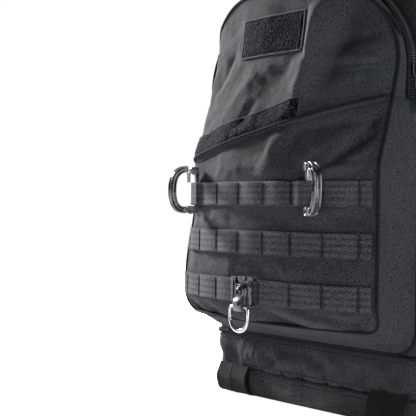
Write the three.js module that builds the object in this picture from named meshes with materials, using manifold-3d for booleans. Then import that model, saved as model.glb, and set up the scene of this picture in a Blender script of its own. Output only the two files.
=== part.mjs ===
// Trauma backpack with a bottom-hinged front half, a zipped front pocket, webbing rows, locking
// D-rings and a swivel clip. Millimetres, +Z up. The pack stands on its boot at z = 0, its front
// faces -Y, its back panel faces +Y, and the origin is on the floor under the middle of the boot.
import * as THREE from 'three';
import { mergeVertices } from 'three/addons/utils/BufferGeometryUtils.js';
import Module from 'manifold-3d';

const wasm = await Module();
wasm.setup();

// ---- driving dimensions -----------------------------------------------------------------------
const GAP = 0.4;                    // clearance between touching pieces
const WALL = 5;                     // padded fabric wall

const BODY_HALF = 160;              // half width of the main body
const BODY_TOP = 496;               // top of the main body
const BODY_CORNER = 92;             // radius of its upper corners
const BODY_FRONT = -54;             // front face of the main body
const BODY_BACK = 95;               // back panel plane
const CLAMSHELL_Y = -16;            // plane of the main zip
const BOOT_TOP = 30;                // seam between the base boot and the shells
const BOOT_CORNER = 34;
const FOLD_Z = 73;                  // fold line of the front half, just under the pocket

const POCKET_HALF = 146;            // half width of the pocket's front panel
const POCKET_BACK_HALF = 150;
const POCKET_FRONT = -140;          // crown of the front panel
const POCKET_SWEEP = 31;            // how far the panel's side edges lie behind its crown
const POCKET_BOTTOM = 75;
const POCKET_TOP = 452;
const POCKET_CORNER = 96;           // radius of its upper corners
const UNDERSIDE_FRONT_Z = 100;      // where the panel turns under
const POCKET_ZIP_Y = -64;           // plane of the pocket's zip
const SEAM_LEFT_Z = 268;            // the slanted seam, at the panel's left and right edge
const SEAM_RIGHT_Z = 328;

const LEAN_START_Z = 262;           // above this the front panel leans back towards its top
const LEAN = 38;

const ROW_TOPS = [247, 196.2, 145.4];
const WEBBING = 25.4;               // webbing height, and half the pitch of the rows
const WEBBING_THICK = 1.6;
const COLUMN = 38.1;                // spacing of the stitches along a row
const BULGE = 4.8;                  // how far a row stands off where hardware passes behind it
const RAMP = 12;                    // length along the row over which it rises to that

const DRING_LEFT_S = -104;          // places along the panel's arc, from its middle
const DRING_RIGHT_S = 77;
const DRING_LIFT = 4;               // the rings' centre above the middle of row 1
const DRING_RIGHT_TURN = 53;        // degrees that the right ring is swung to the side
const CLIP_S = 0;
const COMPRESSION_Z = 392;          // height of the upper compression straps
const MAIN_SLIDER_Z = 330;

const SEAM_SLOPE = (SEAM_RIGHT_Z - SEAM_LEFT_Z) / (2 * POCKET_HALF);
const seamZ = (x) => SEAM_LEFT_Z + SEAM_SLOPE * (x + POCKET_HALF);

// ---- materials --------------------------------------------------------------------------------
const finish = (color, roughness, metalness = 0) =>
  new THREE.MeshStandardMaterial({ color, roughness, metalness });
const NYLON = finish(0x2f3033, 0.85);
const PADDING = finish(0x26272a, 0.9);
const WEB = finish(0x45464a, 0.8);
const HOOK_LOOP = finish(0x1b1c24, 0.95);
const POLYMER = finish(0x222326, 0.45);
const STEEL = finish(0xc9c6cb, 0.25, 1);
const ALUMINIUM = finish(0xa9abad, 0.4, 1);
const BOARD = finish(0x3a3a3c, 0.6);

// ---- geometry helpers -------------------------------------------------------------------------
function toSolid(geometry) {
  const bare = geometry.clone();
  bare.deleteAttribute('normal');
  bare.deleteAttribute('uv');
  const merged = mergeVertices(bare, 1e-4);
  const mesh = new wasm.Mesh({
    numProp: 3,
    vertProperties: new Float32Array(merged.attributes.position.array),
    triVerts: new Uint32Array(merged.index.array),
  });
  return new wasm.Manifold(mesh);
}

function toGeometry(solid) {
  const mesh = solid.getMesh();
  const geometry = new THREE.BufferGeometry();
  geometry.setAttribute('position', new THREE.BufferAttribute(mesh.vertProperties, 3));
  geometry.setIndex(new THREE.BufferAttribute(mesh.triVerts, 1));
  geometry.computeVertexNormals();
  return geometry;
}

const cut = (a, ...others) => toGeometry(
  others.reduce((left, b) => left.subtract(toSolid(b)), toSolid(a)));
const join = (a, ...others) => toGeometry(
  others.reduce((left, b) => left.add(toSolid(b)), toSolid(a)));
const common = (a, ...others) => toGeometry(
  others.reduce((left, b) => left.intersect(toSolid(b)), toSolid(a)));

const polygon = (points) => new THREE.Shape(points.map(([x, y]) => new THREE.Vector2(x, y)));

function extrude(shape, depth, curveSegments = 6) {
  return new THREE.ExtrudeGeometry(shape, { depth, bevelEnabled: false, curveSegments });
}

// A plan outline (x, y) raised from z0 to z1.
const slab = (shape, z0, z1) => extrude(shape, z1 - z0).translate(0, 0, z0);
// A front outline (x, z) from y0 back to y1.
const plate = (shape, y0, y1) => extrude(shape, y1 - y0).rotateX(Math.PI / 2).translate(0, y1, 0);
// A side outline (y, z) from x0 to x1.
const rib = (shape, x0, x1) =>
  extrude(shape, x1 - x0).rotateX(Math.PI / 2).rotateZ(Math.PI / 2).translate(x0, 0, 0);

function block(x0, x1, y0, y1, z0, z1) {
  const geometry = new THREE.BoxGeometry(x1 - x0, y1 - y0, z1 - z0);
  return geometry.translate((x0 + x1) / 2, (y0 + y1) / 2, (z0 + z1) / 2);
}

function mesh(name, geometry, material) {
  const piece = new THREE.Mesh(geometry, material);
  piece.name = name;
  return piece;
}

// A front outline with square lower corners and round upper ones.
function archShape(half, bottom, top, corner) {
  const shape = new THREE.Shape();
  shape.moveTo(-half, bottom);
  shape.lineTo(half, bottom);
  shape.lineTo(half, top - corner);
  shape.absarc(half - corner, top - corner, corner, 0, Math.PI / 2, false);
  shape.absarc(-half + corner, top - corner, corner, Math.PI / 2, Math.PI, false);
  return shape;
}

function roundedShape(x0, x1, y0, y1, r) {
  const shape = new THREE.Shape();
  shape.absarc(x1 - r, y0 + r, r, -Math.PI / 2, 0, false);
  shape.absarc(x1 - r, y1 - r, r, 0, Math.PI / 2, false);
  shape.absarc(x0 + r, y1 - r, r, Math.PI / 2, Math.PI, false);
  shape.absarc(x0 + r, y0 + r, r, Math.PI, 1.5 * Math.PI, false);
  return shape;
}

// ---- the crowned front panel ------------------------------------------------------------------
const panelY = (x) => POCKET_FRONT + POCKET_SWEEP * (Math.abs(x) / POCKET_HALF) ** 2.5;

// Point and outward direction at a distance s along the panel from its middle.
function onPanel(s) {
  const step = 0.5;
  let x = 0;
  for (let run = 0; run < Math.abs(s); run += step) {
    const slope = (panelY(x + step) - panelY(x)) / step;
    x += step / Math.hypot(1, slope);
  }
  x *= Math.sign(s);
  const slope = (panelY(x + 0.1) - panelY(x - 0.1)) / 0.2;
  return { x, y: panelY(x), out: new THREE.Vector2(slope, -1).normalize() };
}

// How far the panel has leaned back at a height.
const leanAt = (z) => LEAN * Math.sin(Math.PI / 2 * THREE.MathUtils.clamp((z - LEAN_START_Z) / 200, 0, 1));

// A plan outline raised from z0 to z1, with everything near the panel leaning back as it rises.
function leaningSlab(shape, z0, z1) {
  const geometry = new THREE.ExtrudeGeometry(
    shape, { depth: z1 - z0, steps: Math.ceil((z1 - z0) / 12), bevelEnabled: false }).translate(0, 0, z0);
  const spots = geometry.attributes.position;
  for (let i = 0; i < spots.count; i++) {
    if (spots.getY(i) < -80) spots.setY(i, spots.getY(i) + leanAt(spots.getZ(i)));
  }
  return geometry;
}

function pocketPlan(inset, back) {
  const half = POCKET_HALF - inset;
  const steps = 16;
  const points = [];
  for (let i = 0; i <= steps; i++) {
    const x = half * (2 * i / steps - 1);
    points.push([x, panelY(x) + inset]);
  }
  points.push([POCKET_BACK_HALF - inset, back], [-POCKET_BACK_HALF + inset, back]);
  return polygon(points);
}

function pocketForm(inset, back) {
  const top = POCKET_TOP - inset;
  const plan = leaningSlab(pocketPlan(inset, back), POCKET_BOTTOM - 5, POCKET_TOP + 5);
  const front = plate(
    archShape(POCKET_BACK_HALF - inset, POCKET_BOTTOM - 5, top, POCKET_CORNER - inset),
    POCKET_FRONT - 5, back + 5);
  const underside = rib(polygon([
    [POCKET_FRONT - 10, POCKET_BOTTOM - 10],
    [back + 5, POCKET_BOTTOM - 10],
    [back + 5, POCKET_BOTTOM + inset],
    [BODY_FRONT, POCKET_BOTTOM + inset],
    [POCKET_FRONT - 10, UNDERSIDE_FRONT_Z + 3 + inset],
  ]), -200, 200);
  return cut(common(plan, front), underside);
}

// Everything above, or below, the slanted seam.
function seamSide(above, gap) {
  const far = above ? 600 : 0;
  const edge = above ? gap : -gap;
  const wide = 220;
  const points = [[-wide, seamZ(-wide) + edge], [wide, seamZ(wide) + edge], [wide, far], [-wide, far]];
  return plate(polygon(above ? points : points.reverse()), -200, 0);
}

const pocketSkin = cut(pocketForm(0, BODY_FRONT - GAP), pocketForm(WALL, BODY_FRONT + 5));

function pocketPieces() {
  const zipFront = block(-300, 300, -200, POCKET_ZIP_Y - GAP, 0, 600);
  const zipBack = block(-300, 300, POCKET_ZIP_Y, 0, 0, 600);
  const upper = common(pocketSkin, seamSide(true, GAP));
  return {
    shell: mesh('pocket_shell', common(pocketSkin, seamSide(false, GAP)), NYLON),
    flap: mesh('pocket_flap', common(upper, zipFront), NYLON),
    gusset: mesh('pocket_gusset', common(upper, zipBack), NYLON),
  };
}

// ---- webbing rows -----------------------------------------------------------------------------
function webbingRow(name, top, hardware) {
  const ends = 3.5 * COLUMN + 14;
  const steps = 48;
  const offset = (s) => hardware.reduce((most, [at, reach]) => {
    const rise = THREE.MathUtils.clamp((reach - Math.abs(s - at)) / RAMP, 0, 1);
    return Math.max(most, GAP + BULGE * rise);
  }, GAP);
  const inner = [];
  const outer = [];
  for (let i = 0; i <= steps; i++) {
    const s = ends * (2 * i / steps - 1);
    const { x, y, out } = onPanel(s);
    const near = offset(s);
    inner.push([x + out.x * near, y + out.y * near]);
    outer.push([x + out.x * (near + WEBBING_THICK), y + out.y * (near + WEBBING_THICK)]);
  }
  return mesh(name, slab(polygon([...outer, ...inner.reverse()]), top - WEBBING, top), WEB);
}

// A group at a place on the panel, with local +X pointing straight out from it.
function standOff(s, z, lift, turn = 0) {
  const { x, y, out } = onPanel(s);
  const group = new THREE.Group();
  group.position.set(x + out.x * lift, y + out.y * lift, z);
  group.rotation.z = Math.atan2(out.y, out.x) + THREE.MathUtils.degToRad(turn);
  return group;
}

// ---- locking D-ring ---------------------------------------------------------------------------
// Local X points out of the ring's straight side, Z is up, and the ring is flat in Y.
const RING = { half: 27, reach: 33, band: 7.5, thick: 8, bar: 1.6, pivotX: 9, pivotZ: -22, boss: 4.6 };

function lockingRing(side) {
  const { half, reach, band, thick, bar, pivotX, pivotZ, boss } = RING;
  const flat = (shape, t) => plate(shape, -t / 2, t / 2);
  const spine = join(
    flat(polygon([[-bar, -half + 1], [bar, -half + 1], [bar, half - 1], [-bar, half - 1]]), 2 * bar),
    flat(polygon([[1, -half + 1], [pivotX, -half + 1], [pivotX, -17.4], [1, -17.4]]), thick),
    flat(roundedShape(pivotX - boss, pivotX + boss, pivotZ - boss, pivotZ + boss, boss - 0.01), thick),
    flat(polygon([[1, 17], [9, 17], [9, half - 1], [1, half - 1]]), thick));

  const loop = new THREE.Shape();
  loop.moveTo(12.4, half);
  loop.bezierCurveTo(25, half, reach, 18, reach, 4);
  loop.lineTo(reach, -4);
  loop.bezierCurveTo(reach, -18, 25, -half, 10, -half);
  loop.lineTo(10, -half + band + 3);
  loop.bezierCurveTo(20, -half + band + 1, reach - band, -14, reach - band, -4);
  loop.lineTo(reach - band, 4);
  loop.bezierCurveTo(reach - band, 14, 20, half - band, 12.4, half - band);
  const clearance = roundedShape(
    pivotX - boss - GAP, pivotX + boss + GAP, pivotZ - boss - GAP, pivotZ + boss + GAP, boss + GAP - 0.01);
  const bow = cut(flat(loop, thick), flat(clearance, 2 * thick), block(-20, 9.4, -10, 10, -40, -10));
  const latch = flat(polygon([[9.4, 12], [11.9, 12], [11.9, 24], [9.4, 24]]), thick - 2);
  return [
    mesh(`dring_${side}_spine`, spine, POLYMER),
    mesh(`dring_${side}_bow`, bow, POLYMER),
    mesh(`dring_${side}_latch`, latch, POLYMER),
  ];
}

// ---- swivel clip ------------------------------------------------------------------------------
// Local X points out of the panel, Y runs along the webbing and Z is up.
const CLIP = { half: 17, face: 7.4, plate: 3.2, boss: 8, barX: 14.9, barZ: -15, wire: 1.9 };

function swivelClip() {
  const { half, face, plate: thick, boss, barX, barZ, wire } = CLIP;
  const top = 3 + WEBBING / 2;
  const front = face + thick;
  const grip = polygon([
    [face, -WEBBING / 2 - 0.6], [2.2, -WEBBING / 2 - 0.6], [2.2, -WEBBING / 2 + 4],
    [GAP + 0.2, -WEBBING / 2 + 4], [GAP + 0.2, -top], [front, -top],
    [front, top], [GAP + 0.2, top], [GAP + 0.2, WEBBING / 2 - 4],
    [2.2, WEBBING / 2 - 4], [2.2, WEBBING / 2 + 0.6], [face, WEBBING / 2 + 0.6],
  ]);
  const across = (shape, y0, y1) => plate(shape, y0, y1);
  const base = join(
    across(grip, -half, half),
    block(front - 1, front + 2, -half, half, top - 4, top));
  const disc = (r, x0, x1) =>
    new THREE.CylinderGeometry(r, r, x1 - x0, 20).rotateZ(Math.PI / 2).translate((x0 + x1) / 2, 0, 0);
  const eye = cut(
    block(front + 2.4, front + 8.4, -6, 6, barZ - 5, -4),
    block(barX - 3, barX + 3, -10, 10, barZ - 3, barZ + 3));
  const swivel = join(disc(boss, front + GAP, front + 4.4), eye);

  const ringShape = (grow) => {
    const shape = new THREE.Shape();
    const w = 14 + grow;
    shape.moveTo(-w, barZ + grow);
    shape.lineTo(-w, barZ - 10);
    shape.absellipse(0, barZ - 11, w, 14.5 + grow, Math.PI, 2 * Math.PI, false);
    shape.lineTo(w, barZ + grow);
    return shape;
  };
  const ringPlate = (shape, t) => rib(shape, barX - t, barX + t);
  const ring = cut(ringPlate(ringShape(wire), wire), ringPlate(ringShape(-wire), 2 * wire));
  const screw = disc(4, front + 4.4 + GAP, front + 6.8);
  return [
    mesh('clip_base', base, POLYMER),
    mesh('clip_swivel', swivel, POLYMER),
    mesh('clip_ring', ring, STEEL),
    mesh('clip_screw', screw, STEEL),
  ];
}

// ---- main body --------------------------------------------------------------------------------
const bodyForm = (inset, y0, y1, bottom) =>
  plate(archShape(BODY_HALF - inset, bottom, BODY_TOP - inset, BODY_CORNER - inset), y0, y1);

function rearShell() {
  const tray = cut(
    bodyForm(0, CLAMSHELL_Y, BODY_BACK, BOOT_TOP + GAP),
    bodyForm(WALL, CLAMSHELL_Y - 5, BODY_BACK - WALL, BOOT_TOP - 10));
  const sill = cut(
    block(-BODY_HALF, BODY_HALF, BODY_FRONT, CLAMSHELL_Y + 5, BOOT_TOP + GAP, FOLD_Z - GAP),
    block(-BODY_HALF + WALL, BODY_HALF - WALL, BODY_FRONT + WALL, CLAMSHELL_Y + 10, 0, FOLD_Z + 10));
  return mesh('rear_shell', join(tray, sill), NYLON);
}

function baseBoot() {
  const outer = slab(roundedShape(-BODY_HALF, BODY_HALF, BODY_FRONT, BODY_BACK, BOOT_CORNER), 0, BOOT_TOP);
  const inner = slab(roundedShape(
    -BODY_HALF + WALL, BODY_HALF - WALL, BODY_FRONT + WALL, BODY_BACK - WALL,
    BOOT_CORNER - WALL), 6, BOOT_TOP + 5);
  return mesh('base_boot', cut(outer, inner), NYLON);
}

const frontShell = () => mesh('front_shell', cut(
  bodyForm(0, BODY_FRONT, CLAMSHELL_Y - GAP, FOLD_Z),
  bodyForm(WALL, BODY_FRONT + WALL, CLAMSHELL_Y + 5, FOLD_Z - 10)), NYLON);

// Half of the main zip: a thin band that lies outside the edge of one shell.
function zipBand(name, y0, y1) {
  const outside = plate(archShape(
    BODY_HALF + 2.6, FOLD_Z + 12, BODY_TOP + 2.6, BODY_CORNER + 2.6), y0, y1);
  const inside = plate(archShape(
    BODY_HALF + GAP, FOLD_Z, BODY_TOP + GAP, BODY_CORNER + GAP), y0 - 5, y1 + 5);
  return mesh(name, cut(outside, inside), POLYMER);
}

function zipSlider(name, x, y, z) {
  const side = Math.sign(x);
  const near = Math.min(x, x + side * 4);
  return mesh(name, block(near, near + 4, y - 5, y + 5, z - 6, z + 6), POLYMER);
}

// ---- inside the main compartment --------------------------------------------------------------
function innerPieces() {
  const back = BODY_BACK - WALL - GAP;
  const sheetShape = roundedShape(-125, 125, 60, 440, 40);
  const sheet = mesh('frame_sheet', plate(sheetShape, back - 2, back), BOARD);
  const stays = [-1, 1].map((side) => {
    const x = side * 70;
    return mesh(side < 0 ? 'stay_left' : 'stay_right',
      block(x - 12.5, x + 12.5, back - 6, back - 2 - GAP, 66, 434), ALUMINIUM);
  });
  const sleeveFront = back - 6 - GAP - 4;
  const sleeve = mesh('hydration_sleeve',
    plate(roundedShape(-110, 110, 120, 400, 12), sleeveFront, sleeveFront + 4), NYLON);
  return [sheet, ...stays, sleeve];
}

// ---- back panel, harness and handle -----------------------------------------------------------
function backPads() {
  const start = BODY_BACK + GAP;
  const column = (side) => mesh(side < 0 ? 'back_pad_left' : 'back_pad_right', plate(
    roundedShape(Math.min(side * 22, side * 122), Math.max(side * 22, side * 122), 150, 425, 22),
    start, start + 15), PADDING);
  const lumbar = mesh('lumbar_pad', plate(roundedShape(-122, 122, 44, 140, 24), start, start + 17), PADDING);
  return [column(-1), column(1), lumbar];
}

// A flat strap swept along a side-view route, from outline points (y, z) and a thickness.
function strapAlong(route, thick, x0, x1) {
  const curve = new THREE.CatmullRomCurve3(route.map(([y, z]) => new THREE.Vector3(y, z, 0)));
  const near = [];
  const far = [];
  const steps = 20;
  for (let i = 0; i <= steps; i++) {
    const p = curve.getPoint(i / steps);
    const t = curve.getTangent(i / steps);
    near.push([p.x - t.y * thick / 2, p.y + t.x * thick / 2]);
    far.push([p.x + t.y * thick / 2, p.y - t.x * thick / 2]);
  }
  return rib(polygon([...near, ...far.reverse()]), x0, x1);
}

// The route of a shoulder strap's middle, in (y, z), from the yoke down to its adjuster.
const STRAP_ROUTE = [[103, 456], [122, 462], [143, 446], [154, 402], [158, 330], [152, 250], [140, 178]];

function harness(side) {
  const name = side < 0 ? 'left' : 'right';
  const [x0, x1] = side < 0 ? [-97, -32] : [32, 97];
  const middle = side * 64.5;
  const strap = strapAlong(STRAP_ROUTE, 13, x0, x1);
  const adjuster = cut(
    block(middle - 17, middle + 17, 134, 141, 148, 168),
    block(middle - 13, middle + 13, 130, 150, 155, 161));
  const webbing = strapAlong([[139.5, 144], [135, 118], [124, 84], [116, 60]], 2.2, middle - 12.7, middle + 12.7);
  return [
    mesh(`shoulder_strap_${name}`, strap, PADDING),
    mesh(`strap_adjuster_${name}`, adjuster, POLYMER),
    mesh(`lower_webbing_${name}`, webbing, WEB),
  ];
}

function haulHandle() {
  const arc = new THREE.Shape();
  arc.moveTo(-62, BODY_TOP - 2 + GAP + 2);
  arc.lineTo(-62, BODY_TOP + 6);
  arc.bezierCurveTo(-50, BODY_TOP + 18, 50, BODY_TOP + 18, 62, BODY_TOP + 6);
  arc.lineTo(62, BODY_TOP + GAP);
  arc.lineTo(52, BODY_TOP + GAP);
  arc.lineTo(52, BODY_TOP + 3.5);
  arc.bezierCurveTo(42, BODY_TOP + 12.5, -42, BODY_TOP + 12.5, -52, BODY_TOP + 3.5);
  arc.lineTo(-52, BODY_TOP + GAP);
  return mesh('haul_handle', plate(arc, 50, 76), WEB);
}

// ---- straps and buckles -----------------------------------------------------------------------
// A webbing loop that stands proud of the boot's lower front corner.
function lashStrap(side) {
  const route = [[BODY_FRONT - 1.8, 36], [BODY_FRONT - 5, 29], [BODY_FRONT - 9, 19], [BODY_FRONT - 5, 8],
    [BODY_FRONT - 2, 4]];
  const middle = side * 118;
  return mesh(side < 0 ? 'lash_strap_left' : 'lash_strap_right',
    strapAlong(route, 2.2, middle - 25, middle + 25), WEB);
}

function compression(side) {
  const name = side < 0 ? 'left' : 'right';
  const out = (near, far, y0, y1, z0, z1) => block(
    Math.min(side * near, side * far), Math.max(side * near, side * far), y0, y1, z0, z1);
  const z = COMPRESSION_Z;
  const skin = BODY_HALF + 3.4;
  const socket = cut(
    out(skin, skin + 13, 4, 34, z - 17, z + 17),
    out(skin + 3, skin + 10, -5, 24, z - 12, z + 12));
  const plug = join(
    out(skin + 1, skin + 12, -14, 2, z - 15, z + 15),
    out(skin + 5, skin + 8, 0, 16, z - 9, z + 9));
  const webbing = out(BODY_HALF + GAP, skin + 8, -24.5, -22, z - 12.7, z + 12.7);
  const sewn = out(BODY_HALF + GAP, BODY_HALF + 2.6, BODY_FRONT + 2, -22, z - 12.7, z + 12.7);
  const bridge = out(skin, skin + 8, -24.5, -14.4, z - 12.7, z + 12.7);
  const foot = out(skin - 2.8, skin + 1, 6, 34, z - 12, z + 12);
  return {
    socket: mesh(`compression_socket_${name}`, join(socket, foot), POLYMER),
    plug: mesh(`compression_plug_${name}`, plug, POLYMER),
    strap: mesh(`compression_strap_${name}`, join(webbing, sewn, bridge), WEB),
  };
}

function sternum() {
  const y0 = 165.5;
  const z = 360;
  const webbingLeft = block(-62, -17.4, y0 + 5, y0 + 6.6, z - 9.5, z + 9.5);
  const clipLeft = block(-66, -58, y0, y0 + 6.6, z - 14, z + 14);
  const socket = cut(
    block(-17, 4, y0, y0 + 11, z - 13, z + 13),
    block(-10, 10, y0 + 3, y0 + 8, z - 9.5, z + 9.5));
  const plug = join(
    block(5, 20, y0, y0 + 11, z - 13, z + 13),
    block(-6, 6, y0 + 4.5, y0 + 6.5, z - 7, z + 7));
  const webbingRight = block(6, 62, y0 + 11 + GAP, y0 + 13, z - 9.5, z + 9.5);
  const clipRight = block(58, 66, y0, y0 + 13, z - 14, z + 14);
  return {
    left: mesh('sternum_webbing_left', join(webbingLeft, clipLeft), WEB),
    socket: mesh('sternum_socket', socket, POLYMER),
    plug: mesh('sternum_plug', plug, POLYMER),
    right: mesh('sternum_webbing_right', join(webbingRight, clipRight), WEB),
  };
}

function hipWing(side) {
  const inner = 22;
  const shape = new THREE.Shape();
  shape.moveTo(side * 140, BODY_BACK + GAP);
  shape.lineTo(side * 140, 118);
  shape.bezierCurveTo(side * 138, 146, side * 100, 158, side * inner, 158);
  shape.lineTo(side * inner, 146);
  shape.bezierCurveTo(side * 96, 146, side * 126, 138, side * 128, 118);
  shape.lineTo(side * 128, BODY_BACK + GAP);
  const wing = slab(shape, 52, 128);
  const buckle = side < 0
    ? cut(block(-21.5, -2, 146, 158, 70, 110), block(-14, 2, 149, 155, 76, 104))
    : join(block(8, 21.5, 146, 158, 72, 108), block(0.5, 9, 151, 153.5, 79, 101));
  return [
    mesh(side < 0 ? 'hip_wing_left' : 'hip_wing_right', wing, PADDING),
    mesh(side < 0 ? 'hip_socket' : 'hip_plug', buckle, POLYMER),
  ];
}

// ---- loop patch, loop strip, pull tab ---------------------------------------------------------
function loopPatch() {
  const face = plate(polygon([[-56, 383], [40, 383], [40, 425], [-56, 425]]), -150, -70);
  const near = leaningSlab(pocketPlan(-GAP, -98), 370, 430);
  const far = leaningSlab(pocketPlan(-GAP - 1.8, -98), 370, 430);
  return mesh('loop_patch', common(face, cut(far, near)), HOOK_LOOP);
}

function loopStrip() {
  const x0 = -141;
  const x1 = 52;
  const lift = 2;
  const tall = 22;
  const face = plate(polygon([
    [x0, seamZ(x0) + lift], [x1, seamZ(x1) + lift],
    [x1, seamZ(x1) + lift + tall], [x0, seamZ(x0) + lift + tall],
  ]), -150, -70);
  const near = leaningSlab(pocketPlan(-GAP, -98), 230, 350);
  const far = leaningSlab(pocketPlan(-GAP - 1.8, -98), 230, 350);
  return mesh('loop_strip', common(face, cut(far, near)), HOOK_LOOP);
}

// ---- assembly ---------------------------------------------------------------------------------
const pack = new THREE.Group();
const pocket = pocketPieces();
pack.add(rearShell(), baseBoot(), ...innerPieces(), ...backPads(), ...harness(-1), ...harness(1));
pack.add(haulHandle(), lashStrap(-1), lashStrap(1));
pack.add(zipBand('main_zip_rear', CLAMSHELL_Y, CLAMSHELL_Y + 5));
pack.add(zipBand('main_zip_front', CLAMSHELL_Y - GAP - 5, CLAMSHELL_Y - GAP));
for (const side of [-1, 1]) {
  const parts = compression(side);
  pack.add(parts.socket, parts.plug, parts.strap);
  pack.add(zipSlider(side < 0 ? 'main_slider_left' : 'main_slider_right',
    side * (BODY_HALF + 3), CLAMSHELL_Y, MAIN_SLIDER_Z));
  pack.add(...hipWing(side));
}
const chest = sternum();
pack.add(chest.left, chest.socket, chest.plug, chest.right);

pack.add(frontShell(), pocket.shell, pocket.gusset, pocket.flap, loopPatch(), loopStrip());
pack.add(zipSlider('pocket_slider', POCKET_BACK_HALF + 0.6, POCKET_ZIP_Y, POCKET_TOP - POCKET_CORNER));
pack.add(webbingRow('pals_row_1', ROW_TOPS[0], 
  [[DRING_LEFT_S, COLUMN / 2], [DRING_RIGHT_S, COLUMN / 2]]));
pack.add(webbingRow('pals_row_2', ROW_TOPS[1], []));
pack.add(webbingRow('pals_row_3', ROW_TOPS[2], [[CLIP_S, 0.8 * COLUMN]]));

const ringZ = ROW_TOPS[0] - WEBBING / 2 + DRING_LIFT;
const leftRing = standOff(DRING_LEFT_S, ringZ, 2.5);
leftRing.add(...lockingRing('left'));
const rightRing = standOff(DRING_RIGHT_S, ringZ, 2.5, DRING_RIGHT_TURN);
rightRing.add(...lockingRing('right'));
const clip = standOff(CLIP_S, ROW_TOPS[2] - WEBBING / 2, 0);
clip.add(...swivelClip());
pack.add(leftRing, rightRing, clip);

export default pack;
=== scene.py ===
# %% [markdown]
# # A trauma backpack in black nylon
# A first responder pack is sewn, not moulded: panels of coated nylon meet at piped seams, ladder
# webbing is tacked across the front, and hard plastic and steel fittings hang from that webbing.
# The CAD frame holds every size and joint. This lesson dresses it, one piece at a time.

# %% The frame
import math

import bmesh
import bpy
from mathutils import Matrix, Vector, noise


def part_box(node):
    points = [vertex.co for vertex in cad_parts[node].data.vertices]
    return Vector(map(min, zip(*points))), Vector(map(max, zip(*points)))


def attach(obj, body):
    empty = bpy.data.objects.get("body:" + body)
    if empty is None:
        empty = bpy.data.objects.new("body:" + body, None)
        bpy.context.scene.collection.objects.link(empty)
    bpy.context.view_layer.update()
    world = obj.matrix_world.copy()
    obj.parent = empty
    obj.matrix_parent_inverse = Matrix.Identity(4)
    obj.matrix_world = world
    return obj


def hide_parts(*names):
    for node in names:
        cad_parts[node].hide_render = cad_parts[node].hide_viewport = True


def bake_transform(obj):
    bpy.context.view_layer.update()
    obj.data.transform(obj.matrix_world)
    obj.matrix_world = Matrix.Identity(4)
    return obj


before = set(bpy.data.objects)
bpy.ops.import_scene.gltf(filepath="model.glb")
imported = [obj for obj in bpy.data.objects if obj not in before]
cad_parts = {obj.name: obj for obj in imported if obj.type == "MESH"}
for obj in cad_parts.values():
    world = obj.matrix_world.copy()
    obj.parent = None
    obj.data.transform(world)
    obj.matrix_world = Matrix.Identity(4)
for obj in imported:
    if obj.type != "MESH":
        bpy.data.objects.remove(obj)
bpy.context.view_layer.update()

# %% [markdown]
# ## The camera
# The pack is seen from its front right corner, with the lens level and about as high as the top
# webbing row. A long lens keeps the rows nearly parallel, and keeps the pack in proportion.

# %% Camera
MM = 0.001
CAMERA_AT = Vector((794.3, -851.8, 218.7)) * MM
CAMERA_TURN = math.radians(50.55)
CAMERA_ROLL = math.radians(0.79)
LENS_MM = 88.7

across = Vector((math.cos(CAMERA_TURN), math.sin(CAMERA_TURN), 0))
ahead = Vector((-math.sin(CAMERA_TURN), math.cos(CAMERA_TURN), 0))
level = Vector((0, 0, 1))
right = across * math.cos(CAMERA_ROLL) + level * math.sin(CAMERA_ROLL)
up = level * math.cos(CAMERA_ROLL) - across * math.sin(CAMERA_ROLL)

lens = bpy.data.cameras.new("camera")
lens.lens = LENS_MM
lens.sensor_width = 36
camera = bpy.data.objects.new("camera", lens)
turn = Matrix((right, up, -ahead)).transposed()
camera.matrix_world = Matrix.Translation(CAMERA_AT) @ turn.to_4x4()
bpy.context.collection.objects.link(camera)
bpy.context.scene.camera = camera

# %% [markdown]
# ## Studio light
# Black cloth shows its shape only by the light that grazes it. A small soft source grazes it from
# the left, a broad weak one fills from the right, and two faint ones touch the top and back. The
# world is a pale grey dome, brighter to the lens than it is as a lamp, so that the cloth keeps
# its deep shadows in front of a white ground.

# %% Lights, world and floor
def soft_light(name, at, aim, size, watts):
    """One square area light at a place, turned towards a point; sizes in metres."""
    data = bpy.data.lights.new(name, "AREA")
    data.size = size
    data.energy = watts
    lamp = bpy.data.objects.new(name, data)
    lamp.location = at
    lamp.rotation_euler = (Vector(aim) - Vector(at)).to_track_quat("-Z", "Y").to_euler()
    bpy.context.collection.objects.link(lamp)


soft_light("key", (-2.15, -0.22, 1.1), (0, -0.05, 0.28), 0.4, 194)
soft_light("fill", (2.1, -0.05, 0.6), (0, 0, 0.22), 1.0, 36)
soft_light("top", (0.1, 0.3, 1.7), (0, 0, 0.3), 0.7, 6)
soft_light("back", (0.6, 1.9, 1.0), (0, 0, 0.25), 1.0, 5)


def add(tree, kind, inputs=None, **settings):
    """Adds one node. settings are its properties; inputs are values, or sockets to link from."""
    made = tree.nodes.new("ShaderNode" + kind)
    for key, value in settings.items():
        setattr(made, key, value)
    for key, value in (inputs or {}).items():
        socket = made.inputs[key]
        if isinstance(value, bpy.types.NodeSocket):
            tree.links.new(value, socket)
        else:
            socket.default_value = value
    return made


def linear(hex_colour):
    """Turns an sRGB hex colour into the linear one that a shader wants."""
    parts = [int(hex_colour[i:i + 2], 16) / 255 for i in (1, 3, 5)]
    return tuple(c / 12.92 if c <= 0.04045 else ((c + 0.055) / 1.055) ** 2.4 for c in parts) + (1.0,)


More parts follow.
